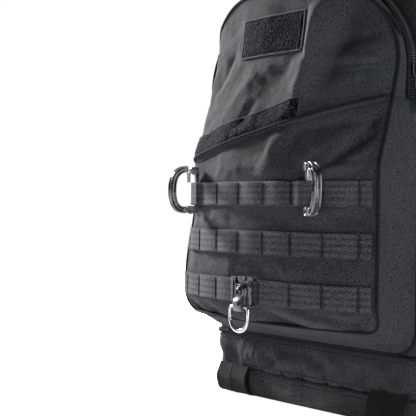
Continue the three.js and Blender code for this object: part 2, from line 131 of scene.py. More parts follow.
world = bpy.data.worlds.new("studio")
bpy.context.scene.world = world
world.use_nodes = True
sky = world.node_tree
sky.nodes.clear()
rays = add(sky, "LightPath")
dome = add(sky, "Background", {"Color": (0.95, 0.97, 1, 1), "Strength": 0.1})
ground = add(sky, "Background", {"Color": (1, 1, 1, 1), "Strength": 1.0})
both = add(sky, "MixShader", {0: rays.outputs["Is Camera Ray"], 1: dome.outputs[0],
                                2: ground.outputs[0]})
add(sky, "OutputWorld", {"Surface": both.outputs[0]})
bpy.context.scene.view_settings.view_transform = "Standard"

# %% [markdown]
# ## Making meshes
# Cloth panels are grids of points worked out from a formula, because a formula can follow the
# seams exactly. Straps, piping and rings are a small section swept along a path. Everything is
# worked out in millimetres, as a pattern cutter would, and scaled once when the mesh is made.

# %% Mesh helpers
def new_piece(name, points, faces, smooth=True):
    """A mesh object from points in millimetres."""
    mesh = bpy.data.meshes.new(name)
    mesh.from_pydata([tuple(c * MM for c in p) for p in points], [], faces)
    mesh.validate()
    for face in mesh.polygons:
        face.use_smooth = smooth
    piece = bpy.data.objects.new(name, mesh)
    bpy.context.collection.objects.link(piece)
    return piece


def outward(piece):
    """Turns a closed piece's faces to point out."""
    work = bmesh.new()
    work.from_mesh(piece.data)
    bmesh.ops.remove_doubles(work, verts=work.verts, dist=1e-6)
    bmesh.ops.recalc_face_normals(work, faces=work.faces)
    work.to_mesh(piece.data)
    work.free()
    return piece


def grid(name, rows, closed=False):
    """A sheet from rows of points; closed joins each row's end to its start."""
    wide = len(rows[0])
    points = [p for row in rows for p in row]
    faces = []
    for r in range(len(rows) - 1):
        for c in range(wide if closed else wide - 1):
            d = (c + 1) % wide
            faces.append((r * wide + c, r * wide + d, (r + 1) * wide + d, (r + 1) * wide + c))
    return new_piece(name, points, faces)


def thicken(piece, mm, offset=-1):
    """Gives a sheet its cloth thickness, inwards from the face that its normals show."""
    layer = piece.modifiers.new("cloth", "SOLIDIFY")
    layer.thickness = mm * MM
    layer.offset = offset
    return piece


def bevel(piece, mm, segments=2):
    """Softens a piece's sharp edges."""
    edge = piece.modifiers.new("soft edge", "BEVEL")
    edge.width = mm * MM
    edge.segments = segments
    edge.limit_method = "ANGLE"
    edge.angle_limit = math.radians(35)
    return piece


def circle(radius, sides=8):
    return [(radius * math.cos(a * math.tau / sides), radius * math.sin(a * math.tau / sides))
            for a in range(sides)]


def sweep_points(path, section, ups, closed=False):
    """Rings of a section carried along a path; ups is one direction, or one for each point."""
    rings = []
    count = len(path)
    for i, p in enumerate(path):
        back = path[(i - 1) % count] if closed or i else p
        front = path[(i + 1) % count] if closed or i < count - 1 else p
        along = (Vector(front) - Vector(back)).normalized()
        high = Vector(ups[i] if isinstance(ups, list) else ups)
        side = along.cross(high).normalized()
        high = side.cross(along).normalized()
        rings.append([tuple(Vector(p) + side * a + high * b) for a, b in section])
    return rings


def sweep(name, path, section, ups=(0, 0, 1), closed=False):
    """A closed solid: a section swept along a path, with flat ends unless the path is a loop."""
    rings = sweep_points(path, section, ups, closed)
    sides = len(section)
    points = [p for ring in rings for p in ring]
    faces = []
    last = len(rings) if closed else len(rings) - 1
    for r in range(last):
        n = (r + 1) % len(rings)
        for c in range(sides):
            d = (c + 1) % sides
            faces.append((r * sides + c, r * sides + d, n * sides + d, n * sides + c))
    if not closed:
        faces.append(tuple(range(sides)))
        faces.append(tuple(reversed(range((len(rings) - 1) * sides, len(rings) * sides))))
    return outward(new_piece(name, points, faces))


def merged(name, pieces):
    """Joins several meshes into one piece."""
    work = bmesh.new()
    for piece in pieces:
        work.from_mesh(piece.data)
        mesh = piece.data
        bpy.data.objects.remove(piece)
        bpy.data.meshes.remove(mesh)
    whole = bpy.data.meshes.new(name)
    work.to_mesh(whole)
    work.free()
    result = bpy.data.objects.new(name, whole)
    bpy.context.collection.objects.link(result)
    return result


def dress(piece, body, material, slot, *nodes):
    """Gives a piece its material and its body, and hides the CAD nodes it stands for; slot is not used."""
    piece.data.materials.clear()
    piece.data.materials.append(material)
    if body:
        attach(piece, body)
    if nodes:
        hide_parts(*nodes)
    return piece


def smoothstep(low, high, value):
    t = min(1, max(0, (value - low) / (high - low)))
    return t * t * (3 - 2 * t)


def ripple(x, y, z, size):
    """Smooth repeatable unevenness between about -1 and 1, with lumps of a size in millimetres."""
    return noise.noise(Vector((x / size, y / size, z / size)))


# %% [markdown]
# ## Coated nylon
# The body cloth is a plain weave of textured nylon with a coating on its back: matt, very dark
# grey rather than black, and with almost no gloss, as its fuzzy yarns scatter the light. Real yarns
# are about 0.5 mm apart, too fine to show, so the weave is drawn three times coarser, in its bump
# and also in its colour, where raised yarns are painted paler and hollows darker as painted
# highlight and painted shade. Slow noise fades the dye a little, and a finer one gives the uneven
# speckle of textured yarn.

# %% Woven cloths
FINE_THREAD = 1.5     # mm between yarns, drawn coarse so that it shows
HEAVY_THREAD = 2.2


def blank_material(name):
    """A new material with its node tree and its shader."""
    material = bpy.data.materials.new(name)
    material.use_nodes = True
    tree = material.node_tree
    return material, tree, tree.nodes["Principled BSDF"]


def weave_height(tree, thread_mm):
    """The height of a plain weave: two sets of yarns, one round the pack and one up it."""
    place = add(tree, "TexCoord").outputs["Object"]
    axes = add(tree, "SeparateXYZ", {0: place})
    rounds = add(tree, "Math", {0: axes.outputs["X"], 1: axes.outputs["Y"]}, operation="ADD")
    turns = math.tau / (thread_mm * MM)
    weft = add(tree, "Math", {0: rounds.outputs[0], 1: turns}, operation="MULTIPLY")
    warp = add(tree, "Math", {0: axes.outputs["Z"], 1: turns}, operation="MULTIPLY")
    weft_wave = add(tree, "Math", {0: weft.outputs[0]}, operation="SINE")
    warp_wave = add(tree, "Math", {0: warp.outputs[0]}, operation="SINE")
    over_under = add(tree, "Math", {0: weft_wave.outputs[0], 1: warp_wave.outputs[0]}, operation="MULTIPLY")
    return place, over_under.outputs[0]


def woven(name, dark, light, thread_mm=FINE_THREAD, relief=0.7, sheen=0.0, rough=0.82,
          ribs=0.2, fleck=1.3, bands_mm=0):
    """A woven cloth between two sRGB colours. ribs is how strongly the weave's height is painted into
    its colour, raised yarns paler and hollows darker: painted highlight and painted shade. fleck is
    how strongly its uneven yarns show as colour; bands_mm spaces the lengthwise ribs of a level
    webbing, drawn only as light and dark stripes in its colour, a painted shade."""
    material, tree, shader = blank_material(name)
    place, height = weave_height(tree, thread_mm)
    fade = add(tree, "TexNoise", {"Vector": place, "Scale": 9.0, "Detail": 1.0})
    yarns = add(tree, "VectorMath", {0: place, 1: (0.4, 0.4, 1)}, operation="MULTIPLY")
    speckle = add(tree, "TexNoise", {"Vector": yarns.outputs[0], "Scale": 1500.0, "Detail": 1.0})
    flecked = add(tree, "Math", {0: speckle.outputs["Fac"], 1: fleck, 2: 0.3 - 0.5 * fleck},
                  operation="MULTIPLY_ADD")
    faded = add(tree, "Math", {0: fade.outputs["Fac"], 1: 0.4, 2: flecked.outputs[0]},
                operation="MULTIPLY_ADD")
    # The weave's height goes into the colour here: raised yarns paler, hollows darker, a painted highlight
    # and painted shade.
    yarn = add(tree, "Math", {0: height, 1: ribs, 2: faded.outputs[0]}, operation="MULTIPLY_ADD")
    # Lengthwise ribs drawn only as light and dark stripes in the colour: painted shade.
    if bands_mm:
        rise = add(tree, "SeparateXYZ", {0: place}).outputs["Z"]
        turn = add(tree, "Math", {0: rise, 1: math.tau / (bands_mm * MM)}, operation="MULTIPLY")
        wave = add(tree, "Math", {0: turn.outputs[0]}, operation="SINE")
        yarn = add(tree, "Math", {0: wave.outputs[0], 1: 0.1, 2: yarn.outputs[0]}, operation="MULTIPLY_ADD")
    ramp = add(tree, "ValToRGB", {0: yarn.outputs[0]})
    ramp.color_ramp.elements[0].position = 0.15
    ramp.color_ramp.elements[0].color = linear(dark)
    ramp.color_ramp.elements[1].position = 0.85
    ramp.color_ramp.elements[1].color = linear(light)
    grain = add(tree, "Math", {0: speckle.outputs["Fac"], 1: 2.2, 2: height}, operation="MULTIPLY_ADD")
    bump = add(tree, "Bump", {"Height": grain.outputs[0], "Strength": relief,
                              "Distance": 0.3 * thread_mm * MM})
    tree.links.new(ramp.outputs["Color"], shader.inputs["Base Color"])
    tree.links.new(bump.outputs["Normal"], shader.inputs["Normal"])
    shader.inputs["Roughness"].default_value = rough
    shader.inputs["Specular IOR Level"].default_value = 0.07
    shader.inputs["Sheen Weight"].default_value = sheen
    shader.inputs["Sheen Roughness"].default_value = 0.45
    return material


nylon = woven("black coated nylon", "#08090a", "#4a4c50")
boot_nylon = woven("heavy ballistic nylon", "#070607", "#545054", HEAVY_THREAD, 0.9)
lining = woven("grey lining cloth", "#4a4c50", "#63666b", FINE_THREAD, 0.3)
binding = woven("black grosgrain binding", "#0b0b0c", "#2b2c2f", 1.2, 0.8)
spacer_mesh = woven("black spacer mesh", "#0c0d0e", "#3c3e42", 3.4, 1.0, ribs=0.35)

# %% [markdown]
# ## Webbing, thread and hook-and-loop
# Nylon webbing is woven tight and thick, with ribs that catch the light as short pale dashes. Those
# dashes are painted highlight: its weave is drawn larger and its two greys lie further apart, so
# its raised yarns are painted paler and its hollows darker. The tacks are sewn with a shiny bonded
# thread, a little bluer than the webbing. Loop tape is a felt of tiny hoops: nearly black, with a
# painted highlight speckled over its tufts where a hoop would face the light.

# %% Webbing, thread and loop tape
webbing = woven("nylon webbing", "#08090a", "#595b60", 2.6, 1.0, 0.0, 0.7, 0.35)
ladder_webbing = woven("ladder webbing", "#07080a", "#626469", 2.6, 1.0, 0.0, 0.7, 0.35, 1.6, 6.4)
boot_webbing = woven("heavy nylon webbing", "#080707", "#2e2829", 2.4, 1.0, 0.03, 0.8, 0.3)
thread = woven("bonded sewing thread", "#070c10", "#233038", 0.9, 0.6, 0.05, 0.6)
pale_thread = woven("teal topstitching thread", "#141e24", "#33454e", 0.9, 0.6, 0.05, 0.6)


def loop_tape():
    material, tree, shader = blank_material("loop tape")
    place = add(tree, "TexCoord").outputs["Object"]
    hoops = add(tree, "TexVoronoi", {"Vector": place, "Scale": 520.0, "Randomness": 1.0})
    tufts = add(tree, "TexNoise", {"Vector": place, "Scale": 430.0, "Detail": 3.0, "Roughness": 0.7})
    # The tufts' height is painted into the colour, high tufts paler than the near-black ground: a painted
    # highlight.
    ramp = add(tree, "ValToRGB", {0: tufts.outputs["Fac"]})
    ramp.color_ramp.elements[0].position = 0.48
    ramp.color_ramp.elements[0].color = linear("#020304")
    ramp.color_ramp.elements[1].position = 0.6
    ramp.color_ramp.elements[1].color = linear("#272b38")
    height = add(tree, "Math", {0: tufts.outputs["Fac"], 1: hoops.outputs["Distance"]}, operation="ADD")
    bump = add(tree, "Bump", {"Height": height.outputs[0], "Strength": 1.0, "Distance": 1.2 * MM})
    tree.links.new(ramp.outputs["Color"], shader.inputs["Base Color"])
    tree.links.new(bump.outputs["Normal"], shader.inputs["Normal"])
    shader.inputs["Roughness"].default_value = 0.9
    shader.inputs["Specular IOR Level"].default_value = 0.05
    return material


loop = loop_tape()

# %% [markdown]
# ## Moulded acetal, plated steel and the frame's materials
# The rings, clip and buckles are injection moulded acetal with a fine spark-eroded grain, so they
# are black with a broad soft shine. Their convex edges are painted paler, a painted highlight, and
# they are paler in random patches of wear. The clip's ring is bent and welded steel wire, barrel
# plated: a soft mirror with faint drawing marks. The stays are bare rolled aluminium, and the
# frame sheet is grey high density polyethylene.

# %% Hard materials
def moulded(name, colour, wear_and_edge_highlight, rough=0.26, grain_mm=0.6):
    """A moulded plastic: spark grain as bump, a little paler and rougher where hands rub it, and
    paler along its convex edges, a painted highlight.
    """
    material, tree, shader = blank_material(name)
    place = add(tree, "TexCoord").outputs["Object"]
    edges = add(tree, "NewGeometry").outputs["Pointiness"]
    rub = add(tree, "TexNoise", {"Vector": place, "Scale": 90.0, "Detail": 3.0})
    # Pointiness and the rub noise choose the colour: convex edges are painted paler, a painted highlight, and
    # the rub noise gives random paler patches of wear.
    sum_up = add(tree, "Math", {0: edges, 1: rub.outputs["Fac"]}, operation="ADD")
    ramp = add(tree, "ValToRGB", {0: sum_up.outputs[0]})
    ramp.color_ramp.elements[0].position = 0.98
    ramp.color_ramp.elements[0].color = linear(colour)
    ramp.color_ramp.elements[1].position = 1.16
    ramp.color_ramp.elements[1].color = linear(wear_and_edge_highlight)
    spark = add(tree, "TexNoise", {"Vector": place, "Scale": 1 / (grain_mm * MM), "Detail": 1.0})
    bump = add(tree, "Bump", {"Height": spark.outputs["Fac"], "Strength": 0.25, "Distance": 0.1 * MM})
    tone = add(tree, "MapRange", {"Value": rub.outputs["Fac"], "To Min": rough - 0.06,
                                  "To Max": rough + 0.12})
    tree.links.new(ramp.outputs["Color"], shader.inputs["Base Color"])
    tree.links.new(tone.outputs["Result"], shader.inputs["Roughness"])
    tree.links.new(bump.outputs["Normal"], shader.inputs["Normal"])
    shader.inputs["IOR"].default_value = 1.48
    return material


def drawn_metal(name, colour, dull, rough, mark_mm):
    """A metal with fine drawing marks; its gloss varies with them and with handling."""
    material, tree, shader = blank_material(name)
    place = add(tree, "TexCoord").outputs["Object"]
    marks = add(tree, "TexNoise", {"Vector": place, "Scale": 1 / (mark_mm * MM), "Detail": 3.0})
    ramp = add(tree, "ValToRGB", {0: marks.outputs["Fac"]})
    ramp.color_ramp.elements[0].position = 0.35
    ramp.color_ramp.elements[0].color = linear(dull)
    ramp.color_ramp.elements[1].position = 0.6
    ramp.color_ramp.elements[1].color = linear(colour)
    tone = add(tree, "MapRange", {"Value": marks.outputs["Fac"], "To Min": rough - 0.05,
                                  "To Max": rough + 0.08})
    bump = add(tree, "Bump", {"Height": marks.outputs["Fac"], "Strength": 0.12, "Distance": 0.1 * MM})
    tree.links.new(ramp.outputs["Color"], shader.inputs["Base Color"])
    tree.links.new(tone.outputs["Result"], shader.inputs["Roughness"])
    tree.links.new(bump.outputs["Normal"], shader.inputs["Normal"])
    shader.inputs["Metallic"].default_value = 1.0
    return material


buckle_acetal = moulded("black buckle acetal", "#0c0d0f", "#232528", 0.36)
acetal = moulded("black moulded acetal", "#141517", "#55575c")
coil_nylon = moulded("black zip coil", "#1a1b1d", "#3c3e42", 0.4, 0.4)
polyethylene = moulded("grey polyethylene sheet", "#3b3d40", "#55585c", 0.5, 1.5)
plated_steel = drawn_metal("plated steel wire", "#c2bec2", "#8d898e", 0.22, 2.0)
aluminium = drawn_metal("rolled aluminium", "#b9bbbe", "#94979b", 0.38, 1.0)
burnished = drawn_metal("burnished zinc plate", "#5d5b60", "#2d2c2f", 0.32, 1.6)
dark_metal = drawn_metal("blackened zinc casting", "#4a4b4e", "#2c2d30", 0.32, 1.2)

# %% [markdown]
# ## The floor
# A plain pale sweep. It glows for the lens and only weakly as a lamp, so it reads as pure white
# without lifting the black cloth.

# %% Floor
floor_material, floor_tree, floor_shader = blank_material("white studio sweep")
floor_shader.inputs["Base Color"].default_value = (0.92, 0.92, 0.92, 1)
floor_shader.inputs["Roughness"].default_value = 0.9
floor_shader.inputs["Emission Color"].default_value = (1, 1, 1, 1)
seen = add(floor_tree, "LightPath").outputs["Is Camera Ray"]
glow = add(floor_tree, "Math", {0: seen, 1: 0.7, 2: 0.25}, operation="MULTIPLY_ADD")
floor_tree.links.new(glow.outputs[0], floor_shader.inputs["Emission Strength"])
FLOOR_HALF = 6000
FLOOR_ENDS = (-FLOOR_HALF, FLOOR_HALF)
floor = grid("floor", [[(x, y, -0.4) for x in FLOOR_ENDS] for y in FLOOR_ENDS])
floor.data.materials.append(floor_material)

# %% [markdown]
# ## The pocket's pattern
# The front pocket is cut from a crowned panel and a long gusset. The panel's middle stands
# furthest out and its edges fall back along a power curve. Its main sizes come from the CAD boxes;
# its corner radii and curves are given as numbers.

# %% Pocket pattern
def box_mm(node):
    low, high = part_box(node)
    return [c / MM for c in low], [c / MM for c in high]


shell_low, shell_high = box_mm("pocket_shell")
flap_low, flap_high = box_mm("pocket_flap")
front_low, front_high = box_mm("front_shell")
rear_low, rear_high = box_mm("rear_shell")
boot_low, boot_high = box_mm("base_boot")

BACK_HALF = shell_high[0]
PANEL_HALF = BACK_HALF - 4
SWEEP = 31
PANEL_TOP = flap_high[2]
TOP_CORNER = 96
PANEL_FOOT = 100
FOOT_CORNER = 16
POCKET_FOOT = shell_low[2]
POCKET_BACK = shell_high[1]
ZIP_Y = flap_high[1]
SEAM_RIGHT = shell_high[2]
SEAM_RISE = 60
SEAM_LEFT = SEAM_RIGHT - SEAM_RISE
SEAM_SLOPE = SEAM_RISE / (2 * PANEL_HALF)
ROW_TOPS = [box_mm(f"pals_row_{n}")[1][2] for n in (1, 2, 3)]
WEB = 25.4
COLUMN = 38.1


def seam_z(x):
    return SEAM_LEFT + SEAM_SLOPE * (x + PANEL_HALF)


CROWN_Y = -140
LEAN, LEAN_FROM, LEAN_OVER = 38, 262, 200
DRAWN_BACK = 13


def panel_y(x):
    return CROWN_Y + SWEEP * (abs(x) / PANEL_HALF) ** 2.5


def set_back(x, z):
    """How far the panel lies behind its crown line: it leans back above the rows, and its left
    edge is drawn back more and more towards the seam."""
    lean = LEAN * math.sin(math.pi / 2 * min(1, max(0, (z - LEAN_FROM) / LEAN_OVER)))
    drawn = DRAWN_BACK * smoothstep(112, PANEL_HALF, -x) * smoothstep(140, 236, z)
    return lean + drawn


def roll_under(z):
    """How far the foot of the panel rolls back towards the pocket's bottom seam."""
    return 12 * max(0, (124 - z) / 24) ** 2


def half_at(z):
    """The panel's half width at a height: straight sides, round corners."""
    if z > PANEL_TOP - TOP_CORNER:
        rise = z - (PANEL_TOP - TOP_CORNER)
        return PANEL_HALF - TOP_CORNER + math.sqrt(max(0, TOP_CORNER ** 2 - rise ** 2))
    if z < PANEL_FOOT + FOOT_CORNER:
        drop = PANEL_FOOT + FOOT_CORNER - z
        return PANEL_HALF - FOOT_CORNER + math.sqrt(max(0, FOOT_CORNER ** 2 - drop ** 2))
    return PANEL_HALF


# %% [markdown]
# ## Folds
# An empty pocket hangs from its rows and seams, and the spare cloth between them falls into folds
# that start where it is held. Each fold is one line with a width and a depth; slow ripples fill
# the rest. The folds die out at the seams and under the webbing, where the cloth is sewn down.

# %% Folds and the panel
# Each fold: start (x, z), end (x, z), half width, depth; a negative depth is a ridge.
FOLDS = [
    (92, 262, 140, 296, 5, 3.2), (100, 256, 146, 284, 7, -2.6), (60, 300, 140, 306, 9, 2.6),
    (74, 372, 140, 366, 12, -3.0), (70, 386, 132, 392, 8, 2.4), (20, 262, 34, 318, 12, -2.0),
    (46, 268, 60, 330, 8, 2.0), (0, 120, 70, 98, 7, 3.4), (34, 120, 104, 104, 8, -3.2),
    (70, 118, 134, 106, 6, 3.0), (104, 118, 146, 112, 5, -2.6), (120, 108, 146, 122, 4, 3.0),
    (-110, 118, -60, 100, 9, 2.4), (-60, 330, -20, 366, 14, -2.2), (-112, 340, -70, 400, 12, 2.6),
    (42, 322, 62, 450, 20, -4.6), (78, 350, 96, 430, 13, 3.2), (-40, 300, -10, 345, 10, 1.6),
    (84, 250, 118, 262, 5, -2.2), (96, 262, 128, 268, 4, 2.4), (110, 280, 146, 318, 6, 2.4),
    (20, 150, 52, 118, 7, 2.4), (44, 166, 66, 124, 6, -2.0), (-140, 116, -104, 92, 6, 3.0),
    (-130, 205, -90, 214, 6, 1.2), (90, 208, 140, 214, 6, 1.2), (-30, 160, 30, 166, 7, 1.0),
]


FOLD_GAIN = 2.5
FOLD_SHARPNESS = 1.4


def fold_depth(x, z):
    total = 0
    for x0, z0, x1, z1, width, depth in FOLDS:
        run = Vector((x1 - x0, z1 - z0))
        share = Vector((x - x0, z - z0)).dot(run) / run.length_squared
        near = min(1, max(0, share))
        away = math.hypot(x - x0 - near * run.x, z - z0 - near * run.y)
        taper = math.sin(math.pi * min(1, max(0, 0.12 + 0.8 * near)))
        total -= depth * taper * math.exp(-(away / width) ** FOLD_SHARPNESS)
    return total


PATCH_LEFT, PATCH_FOOT, PATCH_WIDE, PATCH_TALL = -56, 383, 96, 42


def sewn_down(x, z):
    """0 where the panel is held by a seam, a patch or a row of webbing, 1 well away from them."""
    edge = smoothstep(0, 16, half_at(z) - abs(x)) * smoothstep(0, 30, PANEL_TOP - z)
    hold = 1.0
    for top in ROW_TOPS:
        middle = top - WEB / 2
        hold = min(hold, 0.12 + 0.88 * smoothstep(WEB / 2 - 2, WEB / 2 + 14, abs(z - middle)))
    seam = 0.25 + 0.75 * smoothstep(0, 16, abs(z - seam_z(x)))
    past_side = abs(x - PATCH_LEFT - PATCH_WIDE / 2) - PATCH_WIDE / 2
    past_top = abs(z - PATCH_FOOT - PATCH_TALL / 2) - PATCH_TALL / 2
    patch_hold = 0.2 + 0.8 * smoothstep(-2, 14, max(past_side, past_top))
    return edge * hold * seam * patch_hold


def panel_relief(x, z):
    slow = 4.6 * ripple(x, 0, z, 55) + 2.4 * ripple(x, 40, z * 1.3, 26) + 0.8 * ripple(x, 90, z, 10)
    lap = 2.6 * smoothstep(-1.2, 1.2, z - seam_z(x)) * smoothstep(60, 10, z - seam_z(x))
    edge = smoothstep(0, 10, half_at(z) - abs(x))
    return sewn_down(x, z) * (slow + FOLD_GAIN * fold_depth(x, z)) + lap * edge


def panel_point(x, z, lift=0.0):
    """A point on the panel's cloth, or a lift in front of it."""
    slope = panel_y(x + 0.5) - panel_y(x - 0.5)
    out = Vector((slope, -1, 0)).normalized()
    push = panel_relief(x, z) + lift
    return (x + out.x * push, panel_y(x) + roll_under(z) + set_back(x, z) + out.y * push, z)


def panel_rows(columns=150, lines=170):
    rows = []
    for r in range(lines + 1):
        z = PANEL_FOOT + (PANEL_TOP - PANEL_FOOT) * r / lines
        half = half_at(z)
        rows.append([panel_point(half * (2 * c / columns - 1), z) for c in range(columns + 1)])
    return rows


def across_seam(piece):
    """Bakes a piece's transform into its mesh."""
    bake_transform(piece)
    return piece


panel = thicken(grid("pocket_panel", panel_rows()), 1.6)
dress(panel, None, nylon, "nylon", "pocket_shell", "pocket_flap")
across_seam(panel)
print("panel points", len(panel.data.vertices))

# %% [markdown]
# ## The gusset
# The gusset is one long strip that joins the panel's edge to the pack. Its front outline follows
# the panel, its back outline lies on the pack, and it is cut in three: the lower part, and above
# the seam a front and a back strip with the zip between them.

# %% Gusset
def outline(half, foot, top, top_corner, foot_corner, seam_right, seam_left):
    """Points (x, z) from the left seam down, round the foot, up the right and over the top."""
    def line(a, b, count):
        return [(a[0] + (b[0] - a[0]) * i / count, a[1] + (b[1] - a[1]) * i / count) for i in range(count)]

    def corner(cx, cz, radius, start, count):
        return [(cx + radius * math.cos(start + i / count * math.pi / 2),
                 cz + radius * math.sin(start + i / count * math.pi / 2)) for i in range(count)]

    low = foot + foot_corner
    high = top - top_corner
    lower = line((-half, seam_left), (-half, low), 26)
    lower += corner(-half + foot_corner, low, foot_corner, math.pi, 8)
    lower += line((-half + foot_corner, foot), (half - foot_corner, foot), 60)
    lower += corner(half - foot_corner, low, foot_corner, 1.5 * math.pi, 8)
    lower += line((half, low), (half, seam_right), 34) + [(half, seam_right)]
    upper = line((half, seam_right), (half, high), 6)
    upper += corner(half - top_corner, high, top_corner, 0, 26)
    upper += line((half - top_corner, top), (-half + top_corner, top), 20)
    upper += corner(-half + top_corner, high, top_corner, math.pi / 2, 26)
    upper += line((-half, high), (-half, seam_left), 16) + [(-half, seam_left)]
    return lower, upper


FRONT_OUTLINE = outline(PANEL_HALF, PANEL_FOOT, PANEL_TOP, TOP_CORNER, FOOT_CORNER, SEAM_RIGHT, SEAM_LEFT)
BACK_OUTLINE = outline(BACK_HALF, POCKET_FOOT, PANEL_TOP, TOP_CORNER, 26, SEAM_RIGHT, SEAM_LEFT)


def gusset_rows(part, first, last, steps):
    """Rows of the gusset between two depths, given as functions of the column's front point."""
    rows = []
    for r in range(steps + 1):
        row = []
        for (fx, fz), (bx, bz) in zip(FRONT_OUTLINE[part], BACK_OUTLINE[part]):
            start = Vector((fx, panel_y(fx) + roll_under(fz) + set_back(fx, fz), fz))
            end = Vector((bx, POCKET_BACK, bz))
            depth = first(start, end) + (last(start, end) - first(start, end)) * r / steps
            p = start.lerp(end, depth)
            away = Vector((p.x / BACK_HALF, 0, (p.z - 262) / 190))
            away.normalize()
            swell = math.sin(math.pi * depth)
            push = swell * (2.2 * ripple(p.x, p.y, p.z, 46) + 1.1 * ripple(p.x, p.y * 2, p.z, 18) - 0.6)
            row.append(tuple(p + away * push))
        rows.append(row)
    return rows


at_front = lambda start, end: 0.0
at_back = lambda start, end: 1.0
at_zip = lambda start, end: (ZIP_Y - start.y) / (end.y - start.y)

lower_gusset = thicken(grid("gusset_lower", gusset_rows(0, at_front, at_back, 22)), 1.6, 1)
dress(lower_gusset, "front_half", nylon, "nylon")
front_strip = thicken(grid("gusset_flap_strip", gusset_rows(1, at_front, at_zip, 12)), 1.6, 1)
dress(front_strip, "pocket_flap", nylon, "nylon")
back_strip = thicken(grid("gusset_back_strip", gusset_rows(1, at_zip, at_back, 5)), 1.6, 1)
dress(back_strip, "front_half", nylon, "nylon", "pocket_gusset")


# %% [markdown]
# ## Piping
# Every outer seam is piped: a cord in a folded tape, sewn between the two cloths. It stands 2 mm
# proud, so it catches a thin line of light and throws a thin dark one beside it.

# %% Piping along the pocket's edges
def edge_path(part, outlines, y_of):
    return [(x, y_of(x, z), z) for x, z in outlines[part]]


front_edge = lambda x, z: panel_y(x) + roll_under(z) + set_back(x, z)
back_edge = lambda x, z: POCKET_BACK - 1.5
PIPE = circle(1.7, 8)
for part, body, tag in ((0, "front_half", "lower"), (1, "pocket_flap", "flap")):
    piping = sweep(f"pocket_piping_{tag}", edge_path(part, FRONT_OUTLINE, front_edge), PIPE, (0, 1, 0))
    dress(piping, body, binding, "nylon")
for part, tag in ((0, "lower"), (1, "upper")):
    piping = sweep(f"pocket_back_piping_{tag}", edge_path(part, BACK_OUTLINE, back_edge), PIPE, (0, 1, 0))
    dress(piping, "front_half", binding, "nylon")

# %% [markdown]
# ## Stitching
# A lockstitch shows as short dashes of thread, sunk at each end. Each dash is a tiny six sided
# bead laid along the seam, 3 mm long at a pitch of 4.2 mm, slightly coarser than real thread so
# that the line still reads from a metre away.

# %% Stitch maker
STITCH_PITCH = 4.2
STITCH_LONG = 3.0


def along_path(path, pitch):
    """Places evenly spaced along a path, with the direction at each."""
    spots = []
    left = pitch / 2
    for a, b in zip(path, path[1:]):
        a, b = Vector(a), Vector(b)
        length = (b - a).length
        while left <= length and length > 0:
            spots.append((a.lerp(b, left / length), (b - a).normalized()))
            left += pitch
        left -= length
    return spots


def stitch_line(name, path, out, thick=0.55):
    """A row of stitches as one piece; out is the direction that the cloth faces."""
    points, faces = [], []
    for place, along in along_path(path, STITCH_PITCH):
        high = Vector(out(place) if callable(out) else out)
        side = along.cross(high).normalized()
        base = len(points)
        for share, size in ((-0.5, 0.25), (-0.3, 1), (0.3, 1), (0.5, 0.25)):
            middle = place + along * share * STITCH_LONG + high * (0.1 if size < 1 else 0.45)
            for k in range(6):
                turned = k * math.tau / 6
                points.append(middle + (side * math.cos(turned) + high * math.sin(turned)) * thick * size)
        for ring in range(3):
            for k in range(6):
                n = (k + 1) % 6
                a = base + ring * 6
                faces.append((a + k, a + n, a + 6 + n, a + 6 + k))
        faces.append(tuple(base + k for k in reversed(range(6))))
        faces.append(tuple(base + 18 + k for k in range(6)))
    return outward(new_piece(name, points, faces))


def panel_line(x0, z0, x1, z1, lift=0.5, count=60):
    return [panel_point(x0 + (x1 - x0) * i / count, z0 + (z1 - z0) * i / count, lift)
            for i in range(count + 1)]


def panel_out(place):
    slope = panel_y(place.x + 0.5) - panel_y(place.x - 0.5)
    return Vector((slope, -1, 0)).normalized()


# Two rows of stitches hold an inner pocket to the flap, on the right.
for row, height in enumerate((352, 359)):
    line = stitch_line(f"inner_pocket_stitches_{row}", panel_line(72, height, 141, height + 1), panel_out)
    dress(line, "pocket_flap", pale_thread, "webbing")
seam_path = panel_line(-140, seam_z(-140) - 5, 141, seam_z(141) - 5)
under_seam = stitch_line("seam_stitches", seam_path, panel_out)
dress(under_seam, "front_half", pale_thread, "webbing")

# %% [markdown]
# ## Ladder webbing
# Each row is one length of 25 mm webbing tacked to the panel every 38 mm. Between the tacks it
# stands off just enough to pass a strap, and it bulges where hardware sits behind it.

# %% Webbing rows
def panel_table(step=0.5):
    """Distances along the panel from its middle, with the x at each."""
    table = [(0.0, 0.0)]
    while table[-1][0] < 160:
        s, x = table[-1]
        slope = (panel_y(x + step) - panel_y(x)) / step
        table.append((s + step, x + step / math.hypot(1, slope)))
    return table


ARC = panel_table()


def x_at(s):
    return math.copysign(ARC[round(abs(s) * 2)][1], s)


DRING_S = {"left": -104, "right": 77}
CLIP_S = 0
HARDWARE = {1: [(DRING_S["left"], COLUMN / 2), (DRING_S["right"], COLUMN / 2)], 2: [],
            3: [(CLIP_S, 0.8 * COLUMN)]}
BULGE = 4.6
TACKS = [(k - 3.5) * COLUMN for k in range(8)]


def row_lift(number, s):
    """How far a row stands off the panel at a distance along it."""
    to_tack = min(abs(s - tack) for tack in TACKS)
    lift = 0.7 + 1.5 * math.sin(math.pi / 2 * min(1, to_tack / (COLUMN / 2)))
    for at, reach in HARDWARE[number]:
        lift = max(lift, 0.7 + BULGE * smoothstep(0, 12, reach - abs(s - at)))
    return lift


def row_point(number, s, z, extra=0.0):
    x = x_at(s)
    out = panel_out(Vector((x, 0, 0)))
    lift = row_lift(number, s) + extra
    return Vector((x + out.x * lift, panel_y(x) + roll_under(z) + set_back(x, z) + out.y * lift, z))


